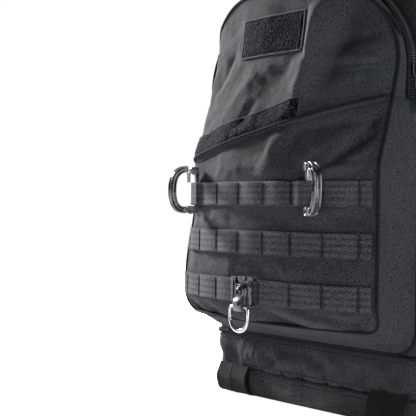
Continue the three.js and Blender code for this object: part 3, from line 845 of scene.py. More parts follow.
def webbing_row(number):
    """The row as a closed strip, its long edges a little thicker, as a woven edge is."""
    top = ROW_TOPS[number - 1]
    ends = 3.5 * COLUMN + 12
    steps = 180
    profile = [(-12.7, 0), (-12.4, 1.2), (-11, 1.5), (-9, 1.25), (9, 1.25), (11, 1.5),
               (12.4, 1.2), (12.7, 0)]
    rings = []
    for i in range(steps + 1):
        s = ends * (2 * i / steps - 1)
        wave = 0.5 * ripple(s, number * 70, 0, 30)
        rings.append([tuple(row_point(number, s, top - WEB / 2 + a + wave, b)) for a, b in profile])
    points = [p for ring in rings for p in ring]
    sides = len(profile)
    faces = [(r * sides + c, r * sides + (c + 1) % sides, (r + 1) * sides + (c + 1) % sides,
              (r + 1) * sides + c) for r in range(steps) for c in range(sides)]
    faces.append(tuple(range(sides)))
    faces.append(tuple(reversed(range(steps * sides, steps * sides + sides))))
    return outward(new_piece(f"webbing_row_{number}", points, faces))


def bar_tack(number, s):
    """A dense zigzag of thread across the webbing."""
    top = ROW_TOPS[number - 1]
    turns = 26
    path = []
    for i in range(turns + 1):
        z = top - 1.2 - (WEB - 2.4) * i / turns
        path.append(tuple(row_point(number, s + (1.3 if i % 2 else -1.3), z, 1.5)))
    return sweep(f"tack_{number}_{s:.0f}", path, circle(0.6, 5), (0, -1, 0.01))


for number in (1, 2, 3):
    dress(webbing_row(number), "front_half", ladder_webbing, "webbing", f"pals_row_{number}")
    tacks = merged(f"tacks_{number}", [bar_tack(number, s) for s in TACKS])
    dress(tacks, "front_half", thread, "webbing")
print("webbing rows and tacks made")

# %% [markdown]
# ## Loop patch and loop strip
# Loop tape is sewn round its edge, so it swells slightly in the middle and sinks at the stitches.
# The felt's tufts are real relief on a fine grid, because a smooth edge would give it away.

# %% Loop tape pieces
def tape_patch(name, corner, along, high, steps_u, steps_v):
    """A padded patch on the panel; corner is (x, z), along and high are its two edges."""
    rows = []
    for v in range(steps_v + 1):
        row = []
        for u in range(steps_u + 1):
            a, b = u / steps_u, v / steps_v
            x = corner[0] + along[0] * a + high[0] * b
            z = corner[1] + along[1] * a + high[1] * b
            rim = min(a * abs(along[0]), (1 - a) * abs(along[0]), b * high[1], (1 - b) * high[1])
            swell = 0.5 + 1.4 * smoothstep(0, 2.5, rim) - 0.5 * math.exp(-((rim - 3) / 0.9) ** 2)
            tuft = 0.45 * ripple(x, 0, z, 1.3) * smoothstep(0, 1.5, rim)
            row.append(panel_point(x, z, swell + tuft))
        rows.append(row)
    return grid(name, rows)


patch = tape_patch("loop_patch_face", (PATCH_LEFT, PATCH_FOOT), (PATCH_WIDE, 0), (0, PATCH_TALL), 110, 50)
dress(thicken(patch, 1.2), "pocket_flap", loop, "hook_loop", "loop_patch")

STRIP_LEFT, STRIP_RIGHT, STRIP_TALL = -141, 52, 22
strip_run = STRIP_RIGHT - STRIP_LEFT
strip_foot = seam_z(STRIP_LEFT) + 2
strip = tape_patch("loop_strip_face", (STRIP_LEFT, strip_foot), (strip_run, strip_run * SEAM_SLOPE),
                   (0, STRIP_TALL), 220, 26)
dress(thicken(strip, 1.2), "pocket_flap", loop, "hook_loop", "loop_strip")

# %% [markdown]
# ## Hems and the seam cord
# A narrow turned hem frames each piece of loop tape, and the flap's lower edge is bound with a cord
# that stands in front of the slanted seam. Without them the tape would look glued on.

# %% Hems and the seam cord
def border(name, corner, along, high):
    """The hem round a tape piece: one flat band through its four corners."""
    def corner_run(a0, b0, a1, b1, count):
        run = []
        for i in range(count):
            a, b = a0 + (a1 - a0) * i / count, b0 + (b1 - b0) * i / count
            run.append((corner[0] + along[0] * a + high[0] * b, corner[1] + along[1] * a + high[1] * b))
        return run

    spots = corner_run(0, 0, 1, 0, 60) + corner_run(1, 0, 1, 1, 10) + corner_run(1, 1, 0, 1, 60)
    spots += corner_run(0, 1, 0, 0, 10)
    path = [panel_point(x, z, 0.9) for x, z in spots]
    band_section = [(0.9, -0.7), (0.9, 0.7), (-0.9, 0.7), (-0.9, -0.7)]
    return sweep(name, path, band_section, (0, -1, 0.02), closed=True)


patch_hem = border("loop_patch_hem", (PATCH_LEFT, PATCH_FOOT), (PATCH_WIDE, 0), (0, PATCH_TALL))
dress(patch_hem, "pocket_flap", webbing, "webbing")
strip_hem = border("loop_strip_hem", (STRIP_LEFT, strip_foot), (strip_run, strip_run * SEAM_SLOPE),
                   (0, STRIP_TALL))
dress(strip_hem, "pocket_flap", webbing, "webbing")

seam_cord = [panel_point(x, seam_z(x) + 1.6, 1.2) for x in range(-144, 145, 4)]
dress(sweep("seam_cord", seam_cord, circle(1.5, 8), (0, -1, 0.02)), "pocket_flap", binding, "nylon")


# %% [markdown]
# ## The gusset's hem and the pull leaf
# The lower gusset ends at the seam in a hem held by two rows of stitches. A leaf-shaped pull of
# folded binding is caught in the panel's seam, high on the right.

# %% Gusset hem and pull leaf
def gusset_line(drop):
    """A line below the top edge of the lower gusset's right side, from the panel to the pack."""
    fx, fz = FRONT_OUTLINE[0][-1]
    bx, bz = BACK_OUTLINE[0][-1]
    start = Vector((fx + 1.6, panel_y(fx) + set_back(fx, fz) + 4, fz - drop))
    end = Vector((bx + 1.6, POCKET_BACK - 3, bz - drop))
    return [start.lerp(end, i / 20) for i in range(21)]


for k, drop in enumerate((5, 9)):
    hem_line = stitch_line(f"gusset_hem_{k}", gusset_line(drop), (1, 0, 0))
    dress(hem_line, "front_half", pale_thread, "webbing")

leaf = []
for i in range(17):
    t = i / 16
    wide = 7.5 * math.sin(math.pi * t ** 0.8) + 0.6
    z = 428 - 46 * t
    x = half_at(z) - 2 + 5 * math.sin(math.pi * t)
    y = panel_y(x) + set_back(x, z) - 1 + 9 * t
    leaf.append([(x + 1.2 * math.sin(math.pi * k / 6), y - wide / 2 + wide * k / 6, z) for k in range(7)])
dress(thicken(grid("pull_leaf", leaf), 1.6, 1), "pocket_flap", binding, "nylon")

# %% [markdown]
# ## Shapes for hard parts
# Moulded parts are a flat outline given a thickness, or a profile turned on a lathe, with every
# edge softened: a mould never leaves a knife edge, and the soft edge is what catches the light.

# %% Helpers for hard parts
def extruded(name, outline_points, low, high, axis="Y"):
    """A closed outline given a thickness along an axis; the outline is in the other two axes."""
    order = {"X": lambda a, b, c: (c, a, b), "Y": lambda a, b, c: (a, c, b)}
    count = len(outline_points)
    points = [order[axis](a, b, c) for c in (low, high) for a, b in outline_points]
    faces = [tuple(range(count)), tuple(reversed(range(count, 2 * count)))]
    faces += [(i, (i + 1) % count, count + (i + 1) % count, count + i) for i in range(count)]
    return outward(new_piece(name, points, faces, smooth=False))


def rounded(a0, a1, b0, b1, radius, steps=5):
    """A rounded rectangle as an outline."""
    points = []
    for ca, cb, start in ((a1 - radius, b1 - radius, 0), (a0 + radius, b1 - radius, 1),
                          (a0 + radius, b0 + radius, 2), (a1 - radius, b0 + radius, 3)):
        for i in range(steps + 1):
            turned = (start + i / steps) * math.pi / 2
            points.append((ca + radius * math.cos(turned), cb + radius * math.sin(turned)))
    return points


def lathe(name, profile, centre, axis="X", sides=28):
    """A profile of (radius, distance along the axis) turned about an axis through centre."""
    points, faces = [], []
    for radius, along in profile:
        for k in range(sides):
            a, b = radius * math.cos(k * math.tau / sides), radius * math.sin(k * math.tau / sides)
            points.append(Vector(centre) + Vector((along, a, b) if axis == "X" else (a, along, b)))
    for r in range(len(profile) - 1):
        for k in range(sides):
            n = (k + 1) % sides
            faces.append((r * sides + k, r * sides + n, (r + 1) * sides + n, (r + 1) * sides + k))
    faces.append(tuple(range(sides)))
    faces.append(tuple(reversed(range((len(profile) - 1) * sides, len(profile) * sides))))
    return outward(new_piece(name, points, faces, smooth=False))


def smooth_path(points, steps=6):
    """A path through points, rounded as a Catmull-Rom curve."""
    path = []
    for i in range(len(points) - 1):
        p = [Vector(points[min(len(points) - 1, max(0, i + k))]) for k in (-1, 0, 1, 2)]
        for s in range(steps):
            t = s / steps
            path.append(0.5 * (2 * p[1] + (p[2] - p[0]) * t + (2 * p[0] - 5 * p[1] + 4 * p[2] - p[3]) * t * t
                               + (3 * p[1] - p[0] - 3 * p[2] + p[3]) * t ** 3))
    return [tuple(p) for p in path] + [tuple(points[-1])]


def stand_off(s, z, lift, turned=0):
    """The place of a fitting on the panel: local X points out, Y runs along the row, Z is up."""
    x = x_at(s)
    out = panel_out(Vector((x, 0, 0)))
    place = Vector((x + out.x * lift, panel_y(x) + out.y * lift, z)) * MM
    turn_by = math.atan2(out.y, out.x) + math.radians(turned)
    return Matrix.Translation(place) @ Matrix.Rotation(turn_by, 4, "Z")


def put(piece, place, soft=0.0):
    piece.data.transform(place)
    return bevel(piece, soft) if soft else piece


# %% [markdown]
# ## Locking D-rings
# Each ring is three mouldings. The bow is ribbed like a girder, deep grooves on every side
# leaving bright rims, because that is the stiffest way to spend little plastic. It turns on a
# hollow rivet at its foot and snaps into a grey latch at its head.

# %% D-rings
RING_Z = ROW_TOPS[0] - WEB / 2 + 4
GIRDER = [(3.7, -3.9), (3.7, -2.0), (2.3, -1.4), (2.3, 1.4), (3.7, 2.0), (3.7, 3.9), (2.3, 3.9), (1.5, 2.3),
          (-1.7, 2.3), (-2.4, 3.9), (-3.6, 3.9), (-3.6, -3.9), (-2.4, -3.9), (-1.7, -2.3),
          (1.5, -2.3), (2.3, -3.9)]
BOW_LINE = [(12.6, 0, 23.2), (17.5, 0, 22.8), (22.8, 0, 20), (27, 0, 14.5), (29, 0, 7), (29.4, 0, 0),
            (29, 0, -7), (27, 0, -14.5), (22.8, 0, -20), (18, 0, -22), (14.2, 0, -22)]
grey_acetal = moulded("grey moulded acetal", "#4a4c50", "#85878c", 0.35)

for side, turned in (("left", 0), ("right", 53)):
    place = stand_off(DRING_S[side], RING_Z, 2.5, turned)
    bow = sweep(f"dring_{side}_girder", smooth_path(BOW_LINE, 5), GIRDER, (0, 1, 0))
    fork = extruded(f"fork_{side}", rounded(12.4, 18, -25.6, -18.4, 1.6), -3.9, 3.9)
    head = extruded(f"head_{side}", rounded(11.6, 17, 19.8, 26.8, 2.2), -3.9, 3.9)
    whole_bow = put(merged(f"dring_{side}_bow_skin", [bow, fork, head]), place, 0.45)
    dress(whole_bow, f"dring_{side}_bow", acetal, "polymer", f"dring_{side}_bow")

    bar = extruded(f"bar_{side}", rounded(-1.6, 1.6, -26, 26, 1.5), -1.6, 1.6)
    cheek = extruded(f"cheek_{side}", rounded(1, 8.4, 17.5, 26, 2.4), -3.9, 3.9)
    heel = extruded(f"heel_{side}", rounded(1, 8.6, -26, -17.6, 2.2), -3.4, 3.4)
    rivet_line = [(1.5, -3.0), (1.7, -4.1), (3.1, -4.1), (3.6, -4.6), (4.3, -4.6), (4.6, -4.0), (4.6, 4.0),
                  (4.3, 4.6), (3.6, 4.6), (3.1, 4.1), (1.7, 4.1), (1.5, 3.0)]
    rivet = lathe(f"rivet_{side}", rivet_line, (9, 0, -22), "Y")
    spine = put(merged(f"dring_{side}_spine_skin", [bar, cheek, heel, rivet]), place, 0.4)
    dress(spine, f"dring_{side}", acetal, "polymer", f"dring_{side}_spine")

    catch = extruded(f"catch_{side}", rounded(8.8, 12.2, 8.6, 19.2, 0.9), -2.9, 2.9)
    grips = [extruded(f"grip_{side}_{k}", rounded(12.0, 12.9, 10 + 2.4 * k, 11.3 + 2.4 * k, 0.4), -2.6, 2.6)
             for k in range(4)]
    latch = put(merged(f"dring_{side}_latch_skin", [catch] + grips), place, 0.35)
    dress(latch, f"dring_{side}_latch", grey_acetal, "polymer", f"dring_{side}_latch")

# %% [markdown]
# ## The swivel clip
# A T-shaped plated grip closes over the bottom row. A round boss turns on a socket screw, and
# from the boss's strap hangs a bent wire ring, fat at the bottom where it wears.

# %% Swivel clip
clip_place = stand_off(CLIP_S, ROW_TOPS[2] - WEB / 2, 0)
grip_side = [(7.4, -13.3), (2.4, -13.3), (2.4, -9), (0.8, -9), (0.8, -15.4), (9.4, -15.4), (9.4, 15.4),
             (0.8, 15.4), (0.8, 9), (2.4, 9), (2.4, 13.3), (7.4, 13.3)]
grip_body = extruded("grip_body", [(x, z) for x, z in grip_side], -11.5, 11.5)
rails = []
for s in (-1, 1):
    rail_line = [(10, s * 10.6, 12.5), (10.2, s * 9.6, 5), (10.2, s * 10.4, -4), (9.8, s * 12, -13)]
    rail_section = [(1.1, -1.2), (1.1, 1.2), (-1.1, 1.2), (-1.1, -1.2)]
    rails.append(sweep(f"rail_{s}", rail_line, rail_section, (1, 0, 0)))
base = put(merged("clip_base_skin", [grip_body] + rails), clip_place, 0.5)
dress(base, "front_half", acetal, "polymer", "clip_base")
ears = [extruded(f"ear_{s}", [(s * 8.6, 15.4), (s * 16, 15.4), (s * 17.2, 14.4), (s * 17, 12), (s * 9.4, 12)],
                 8.2, 12.2, "X") for s in (-1, 1)]
tab = extruded("tab", [(-6.4, 15.7), (6.4, 15.7), (4.4, 11.2), (-4.4, 11.2)], 8.6, 12.8, "X")
shelf = extruded("shelf", rounded(-9.4, 9.4, 6.9, 8.1, 0.5), 9, 11.4, "X")
saddle_line = [(-7.4, 1.6), (-6.8, 4.6), (-4.6, 6.4), (-1, 6.4), (2.6, 2.6), (0.4, 1.2), (-3, 2.8)]
saddle = extruded("saddle", saddle_line, 9, 12.4, "X")
heel_line = [(11.5, -15.6), (17, -15.2), (16.6, -13.2), (13, -13), (11, -9.4), (9.4, -10)]
heel = extruded("heel", heel_line, 8, 10.6, "X")
plated = put(merged("clip_plated_grip", ears + [tab, shelf, saddle, heel]), clip_place, 0.45)
dress(plated, "front_half", burnished, "steel")

boss_line = [(2.2, 11.1), (7.2, 11.1), (8.0, 11.6), (8.0, 13.0), (7.3, 13.4), (6.6, 12.8), (6.0, 12.9),
             (5.6, 14.8), (4.4, 15.1), (2.2, 15.1)]
boss = lathe("boss", boss_line, (0, 0, 0), "X")
strap_line = smooth_path([(13.4, 0, -5.5), (17.2, 0, -9), (18.6, 0, -14.5), (17.2, 0, -18.2),
                          (14.6, 0, -19.2), (12.1, 0, -17.6), (11.8, 0, -13), (12.2, 0, -7)], 4)
band = sweep("ring_strap", strap_line, [(0.8, -5.8), (0.8, 5.8), (-0.8, 5.8), (-0.8, -5.8)], (0, 1, 0))
swivel = put(merged("clip_swivel_skin", [boss, band]), clip_place, 0.35)
dress(swivel, "clip_swivel", acetal, "polymer", "clip_swivel")

screw_line = [(0.2, 15.9), (2.0, 15.9), (2.1, 17.2), (3.4, 17.4), (4.0, 16.9), (4.0, 15.4), (0.2, 15.4)]
screw = put(lathe("clip_screw_skin", screw_line, (0, 0, 0), "X", 24), clip_place, 0.2)
dress(screw, "front_half", dark_metal, "steel", "clip_screw")

wire_line = [(14.9, -14, -18), (14.9, -12.9, -15.9), (14.9, -10.8, -15), (14.9, 10.8, -15),
             (14.9, 12.9, -15.9), (14.9, 14, -18), (14.9, 14, -26)]
wire_line += [(14.9, 14 * math.cos(a * math.pi / 14), -26 - 14.3 * math.sin(a * math.pi / 14))
              for a in range(1, 14)]
wire_line += [(14.9, -14, -26)]
rings = sweep_points(wire_line, circle(1.0, 12), (1, 0, 0), True)
thick_rings = []
for centre, ring in zip(wire_line, rings):
    size = 1.55 + 0.75 * smoothstep(-28, -40, centre[2]) + 0.25 * smoothstep(-17, -15, centre[2])
    thick_rings.append([tuple(Vector(centre) + (Vector(p) - Vector(centre)) * size) for p in ring])
wire = put(outward(grid("clip_wire_ring", thick_rings + [thick_rings[0]], closed=True)), clip_place)
dress(wire, "clip_ring", plated_steel, "steel", "clip_ring")
print("rings and clip made")

# %% [markdown]
# ## The main body
# The clamshell is two trays of nylon with an arched top. Their front and back edges are turned
# through a seam, so they are soft curves. The lower band stays with the rear half, as the lid
# folds above it, and its cloth puckers where it is gathered into the boot.

# %% Body patterns
BODY_HALF = rear_high[0]
BODY_TOP = rear_high[2]
BODY_FRONT = front_low[1]
BODY_BACK = rear_high[1]
LID_EDGE = front_high[1]
BODY_CORNER = 92
FOLD_Z = front_low[2]
BOOT_TOP = boot_high[2]
BOOT_CORNER = 34


def arch(inset, foot, count=22):
    """The body's arched outline (x, z), open at the foot."""
    half, top, corner = BODY_HALF - inset, BODY_TOP - inset, BODY_CORNER - inset
    side = [(-half, foot + (top - corner - foot) * i / count) for i in range(count)]
    turn_up = [(-half + corner - corner * math.cos(i / 16 * math.pi / 2),
                top - corner + corner * math.sin(i / 16 * math.pi / 2)) for i in range(16)]
    half_line = side + turn_up + [(-half + corner + (half - corner) * i / 10, top) for i in range(10)]
    return half_line + [(0, top)] + [(-x, z) for x, z in reversed(half_line)]


def tray_rows(face_y, edge_y, foot, soft):
    """Rows from the middle of a tray's face, over its soft edge, to the rim."""
    toward = 1 if edge_y > face_y else -1
    rows = []
    for f in (0.02, 0.25, 0.5, 0.75, 0.9):
        rows.append([(x * f, face_y, foot + (z - foot) * f) for x, z in arch(soft, foot)])
    for i in range(9):
        angle = i / 8 * math.pi / 2
        inset, y = soft * (1 - math.sin(angle)), face_y + toward * soft * (1 - math.cos(angle))
        rows.append([(x, y, z) for x, z in arch(inset, foot)])
    steps = max(3, round(abs(edge_y - face_y) / 8))
    start = face_y + toward * soft
    for i in range(1, steps + 1):
        y = start + (edge_y - start) * i / steps
        rows.append([(x, y, z) for x, z in arch(0, foot)])
    return rows


def slack(p, centre, depth):
    """Moves a point of body cloth in or out by soft folds."""
    out = Vector((p[0] - centre[0], 0.5 * (p[1] - centre[1]), 0.3 * (p[2] - centre[2]))).normalized()
    fold = ripple(p[0], p[1] * 1.6, p[2] * 0.5, 42) * depth + ripple(p[0], p[1], p[2], 17) * depth * 0.35
    return tuple(Vector(p) + out * fold)


def rim_hold(p, rim_y):
    """Cloth near the rim is held flat by the zip's stitching."""
    return min(1.0, abs(p[1] - rim_y) / 16)


BODY_CENTRE = (0, 15, 250)
lid_rows = [[slack(p, BODY_CENTRE, 1.3 * rim_hold(p, LID_EDGE)) for p in row]
            for row in tray_rows(BODY_FRONT, LID_EDGE, FOLD_Z, 20)]
lid = thicken(grid("front_tray", lid_rows), 2.2, -1)
dress(lid, "front_half", nylon, "nylon", "front_shell")
lid.data.materials.append(lining)
lid.modifiers["cloth"].material_offset = 1

REAR_RIM = LID_EDGE + 0.4
rear_rows = [[slack(p, BODY_CENTRE, 2.6 * rim_hold(p, REAR_RIM)) for p in reversed(row)]
             for row in tray_rows(BODY_BACK, REAR_RIM, FOLD_Z - 2, 20)]
rear = thicken(grid("rear_tray", rear_rows), 2.2, -1)
dress(rear, "rear_half", nylon, "nylon", "rear_shell")
rear.data.materials.append(lining)
rear.modifiers["cloth"].material_offset = 1

# %% [markdown]
# ## The lower band and the boot
# A band of the same cloth runs round the pack below the lid's fold, and a heavier boot takes the
# wear of the ground. Both are gathered into the piped seam between them, so they pucker there.

# %% The lower band and the boot
def plan(radius, inset=0.0, steps=(44, 12, 20)):
    """The pack's plan outline (x, y), closed, with rounded corners."""
    x1, y0, y1 = BODY_HALF - inset, BODY_FRONT + inset, BODY_BACK - inset
    r = max(1, radius - inset)
    long_side, bend, short_side = steps
    points = [(-x1 + r + (2 * x1 - 2 * r) * i / long_side, y0) for i in range(long_side)]
    points += [(x1 - r + r * math.sin(i / bend * math.pi / 2), y0 + r - r * math.cos(i / bend * math.pi / 2))
               for i in range(bend)]
    points += [(x1, y0 + r + (y1 - y0 - 2 * r) * i / short_side) for i in range(short_side)]
    points += [(x1 - r + r * math.cos(i / bend * math.pi / 2), y1 - r + r * math.sin(i / bend * math.pi / 2))
               for i in range(bend)]
    points += [(x1 - r - (2 * x1 - 2 * r) * i / long_side, y1) for i in range(long_side)]
    points += [(-x1 + r - r * math.sin(i / bend * math.pi / 2), y1 - r + r * math.cos(i / bend * math.pi / 2))
               for i in range(bend)]
    points += [(-x1, y1 - r - (y1 - y0 - 2 * r) * i / short_side) for i in range(short_side)]
    points += [(-x1 + r - r * math.cos(i / bend * math.pi / 2), y0 + r - r * math.sin(i / bend * math.pi / 2))
               for i in range(bend)]
    return points


def pucker(x, y, strength):
    """Gathers: sharp ridges of uneven spacing, measured round the plan."""
    a = ripple(x, y, 7, 11) + 0.6 * ripple(x, y, 31, 5)
    return strength * (1 - abs(a) * 1.6)


PLAN_HALF_WIDE, PLAN_MIDDLE, PLAN_HALF_DEEP = 160, 20, 75


def plan_out(x, y):
    """The way that the cloth faces at a point of the plan."""
    return Vector((x / PLAN_HALF_WIDE, (y - PLAN_MIDDLE) / PLAN_HALF_DEEP, 0)).normalized()


FINE_PLAN = (150, 16, 60)
BAND_STEPS = 14
band_rows = []
for i in range(BAND_STEPS + 1):
    z = BOOT_TOP + 0.4 + (FOLD_Z - BOOT_TOP - 0.8) * i / BAND_STEPS
    gather = math.exp(-((z - BOOT_TOP) / 16)) + 0.5 * math.exp(-((FOLD_Z - z) / 10))
    swell = 3.4 * math.sin(math.pi * i / BAND_STEPS)
    clear = 1 - 0.75 * smoothstep(7, 13, i)     # the top is kept flat where the lid folds over it
    row = []
    for x, y in plan(BOOT_CORNER - 12 * i / BAND_STEPS, 0, FINE_PLAN):
        out = plan_out(x, y)
        slow = 7.0 * ripple(x * 1.3, y, z * 1.3, 24) * math.sin(math.pi * i / BAND_STEPS) * clear
        push = swell + pucker(x, y, 2.6 * gather) + slow
        row.append((x + out.x * push, y + out.y * push, z))
    band_rows.append(row)
band = thicken(grid("lower_band", band_rows, closed=True), 2.2, -1)
dress(band, "rear_half", nylon, "nylon")

boot_rows = []
for f in (0.02, 0.3, 0.6, 0.85):
    boot_rows.append([(x * f, 20.5 + (y - 20.5) * f, 0) for x, y in plan(BOOT_CORNER, 9, FINE_PLAN)])
for i in range(7):
    angle = i / 6 * math.pi / 2
    boot_rows.append([(x, y, 9 * (1 - math.cos(angle))) for x, y in
                      plan(BOOT_CORNER, 9 * (1 - math.sin(angle)), FINE_PLAN)])
for i in range(1, 8):
    z = 9 + (BOOT_TOP - 9) * i / 7
    row = []
    for x, y in plan(BOOT_CORNER, 0, FINE_PLAN):
        out = plan_out(x, y)
        push = pucker(x, y, 2.4 * math.exp(-((BOOT_TOP - z) / 12))) + 2.6 * ripple(x, y, z, 30)
        row.append((x + out.x * push, y + out.y * push, z))
    boot_rows.append(row)
boot = thicken(grid("boot_cloth", boot_rows, closed=True), 2.8, -1)
dress(boot, "rear_half", boot_nylon, "nylon", "base_boot")

boot_piping = sweep("boot_piping", [(x, y, BOOT_TOP + 0.2) for x, y in plan(BOOT_CORNER, -0.8, FINE_PLAN)],
                    circle(2.2, 8), (0, 0, 1), closed=True)
dress(boot_piping, "rear_half", binding, "nylon")
fold_piping = sweep("fold_piping", [(x, BODY_FRONT - 0.6, FOLD_Z - 0.4) for x in range(-150, 151, 5)],
                    circle(1.8, 8), (0, 0, 1))
dress(fold_piping, "rear_half", binding, "nylon")


def edge_stitches(name, row):
    """Stitches right round the pack along one row of a cloth's points."""
    start = FINE_PLAN[0]
    path = []
    for x, y, z in row[start:] + row[:start]:
        out = plan_out(x, y)
        path.append((x + out.x * 0.3, y + out.y * 0.3, z))
    stitches = stitch_line(name, path, lambda place: plan_out(place.x, place.y))
    dress(stitches, "rear_half", pale_thread, "webbing")


edge_stitches("band_stitches_top", band_rows[12])
edge_stitches("band_stitches_foot", band_rows[2])
edge_stitches("boot_stitches", boot_rows[-3])
lip_rows = []
for i in range(6):
    y = BODY_FRONT + 3 + (LID_EDGE - BODY_FRONT - 3) * i / 5
    lip_rows.append([(x, y, FOLD_Z + 0.6 + 0.3 * ripple(x, i * 9, 0, 20)) for x in range(-156, 157, 6)])
lip = thicken(grid("lid_foot", lip_rows), 2.0, 1)
dress(lip, "front_half", lining, "nylon")
print("body made")

# %% [markdown]
# ## Zips
# A coil zip is a nylon spring sewn to each tape, drawn here as one small link for each turn.
# The two halves belong to different bodies, so the zip parts when the pack opens.

# %% Zips
LINK_PITCH = 2.9


def zip_half(name, path, out_of, toward, body, *nodes):
    """A tape and its links; toward is the way (+1 or -1 in Y) from the tape to the other half."""
    tape_path = [tuple(Vector(p) + Vector((0, -toward * 4.2, 0)) + out_of(Vector(p)) * 0.9) for p in path]
    tape = sweep(f"{name}_tape", tape_path, [(0.4, -3.6), (0.4, 3.6), (-0.4, 3.6), (-0.4, -3.6)], (0, 1, 0))
    dress(tape, body, binding, "webbing")
    points, faces = [], []
    for place, along in along_path(path, LINK_PITCH):
        out = out_of(place)
        across_zip = Vector((0, toward, 0))
        middle = place - across_zip * 0.9 + out * 1.3
        base = len(points)
        for a, b, c in ((-1, -1, -1), (1, -1, -1), (1, 1, -1), (-1, 1, -1), (-0.7, -0.8, 1), (0.7, -0.8, 1),
                        (0.7, 0.8, 1), (-0.7, 0.8, 1)):
            points.append(middle + along * a * 0.85 + across_zip * b * 1.3 + out * c * 0.75)
        for quad in ((0, 1, 2, 3), (4, 7, 6, 5), (0, 4, 5, 1), (1, 5, 6, 2), (2, 6, 7, 3), (3, 7, 4, 0)):
            faces.append(tuple(base + k for k in quad))
    links = outward(new_piece(f"{name}_links", points, faces, smooth=False))
    dress(links, body, coil_nylon, "polymer", *nodes)


def arch_out(place):
    away = Vector((place.x, 0, max(0, place.z - (BODY_TOP - BODY_CORNER))))
    return away.normalized() if abs(place.x) > BODY_HALF - BODY_CORNER else Vector((0, 0, 1))


MAIN_ZIP_Y = rear_low[1] + 38
main_line = [(x, MAIN_ZIP_Y, z) for x, z in arch(-0.4, FOLD_Z + 14, 60)]
zip_half("main_zip_front", main_line, arch_out, 1, "front_half", "main_zip_front")
zip_half("main_zip_rear", main_line, arch_out, -1, "rear_half", "main_zip_rear")


def pocket_out(place):
    away = Vector((place.x, 0, max(0, place.z - (PANEL_TOP - TOP_CORNER))))
    return away.normalized() if abs(place.x) > PANEL_HALF - TOP_CORNER else Vector((0, 0, 1))


zip_line = gusset_rows(1, at_zip, at_zip, 1)[0]
zip_half("pocket_zip_flap", zip_line, pocket_out, 1, "pocket_flap")
zip_half("pocket_zip_gusset", zip_line, pocket_out, -1, "front_half")


def slider(name):
    """A cast slider with its bridge, a pull tab and a loop of cord, on the side of the zip."""
    low, high = box_mm(name)
    side = 1 if low[0] > 0 else -1
    x, y, z = (low[0] if side > 0 else high[0]), (low[1] + high[1]) / 2, (low[2] + high[2]) / 2
    place = Matrix.Translation(Vector((x, y, z)) * MM) @ Matrix.Scale(side, 4, (1, 0, 0))
    wedge = [(-4.2, 6), (4.2, 6), (4.6, 3), (3.0, -6), (-3.0, -6), (-4.6, 3)]
    plate = extruded("wedge", wedge, 0.2, 2.0, "X")
    bridge = sweep("bridge", [(1.4, 0, 5), (3.2, 0, 4.2), (3.6, 0, 0), (3.2, 0, -3.6), (1.4, 0, -4.6)],
                   [(0.6, -1.2), (0.6, 1.2), (-0.6, 1.2), (-0.6, -1.2)], (0, 1, 0))
    pull = extruded("pull", rounded(-2.2, 2.2, -20, -1.6, 1.8), 2.3, 3.5, "X")
    metal = put(merged(f"{name}_casting", [plate, bridge, pull]), place, 0.3)
    outward(metal)
    dress(metal, name, dark_metal, "polymer", name)
    cord_line = smooth_path([(3, -0.8, -17), (3.4, -1.6, -24), (3.6, -1.8, -36), (3.6, 0, -41),
                             (3.6, 1.8, -36), (3.4, 1.6, -24), (3, 0.8, -17)], 5)
    cord_loop = put(sweep(f"{name}_cord_pull", cord_line, circle(1.1, 8), (1, 0, 0)), place)
    outward(cord_loop)
    dress(cord_loop, name, thread, "webbing")


for name in ("main_slider_left", "main_slider_right", "pocket_slider"):
    slider(name)
print("zips made")

# %% [markdown]
# ## Webbing straps
# The straps are the same nylon webbing as the rows, swept along their paths with a thicker edge
# and two shallow ribs. The loops at the boot are two bands side by side in a browner black.

# %% Straps
def strap(name, path, width, body, material, *nodes, ups=(1, 0, 0), thick=2.2):
    """A length of webbing; ups is the direction of its width."""
    w, t = width / 2, thick / 2
    half_section = [(t * 0.9, -w), (t * 1.2, -w + 1.4), (t * 0.8, -w + 3), (t, -w / 3), (t * 0.75, 0),
                    (t, w / 3), (t * 0.8, w - 3), (t * 1.2, w - 1.4), (t * 0.9, w)]
    section = half_section + [(-a, b) for a, b in reversed(half_section)]
    piece = sweep(name, path, section, ups)
    return dress(piece, body, material, "webbing", *nodes)


for side, tag in ((-1, "left"), (1, "right")):
    line = smooth_path([(BODY_FRONT - 1.8, 36), (BODY_FRONT - 4.6, 30), (BODY_FRONT - 8.6, 20),
                        (BODY_FRONT - 6, 8.5), (BODY_FRONT - 1.4, 3.4), (BODY_FRONT + 8, 1.2)], 5)
    for k, middle in enumerate((105.4, 130.8)):
        path = [(side * middle, y, z) for y, z in line]
        nodes = (f"lash_strap_{tag}",) if k == 0 else ()
        strap(f"lash_loop_{tag}_{k}", path, 25, "rear_half", boot_webbing, *nodes)
    z = 392
    wide = [(161.8, -52, z), (162, -36, z), (163.4, -28, z), (167.4, -21, z), (169.4, -13, z)]
    path = smooth_path([(side * x, y, zz) for x, y, zz in wide], 5)
    strap(f"compression_webbing_{tag}", path, 25, "front_half", webbing, f"compression_strap_{tag}",
          ups=(0, 0, 1))
    low_line = smooth_path([(139.5, 144), (135, 118), (124, 84), (116, 60)], 6)
    strap(f"lower_webbing_{tag}_skin", [(side * 64.5, y, z2) for y, z2 in low_line], 25, "rear_half", webbing,
          f"lower_webbing_{tag}")

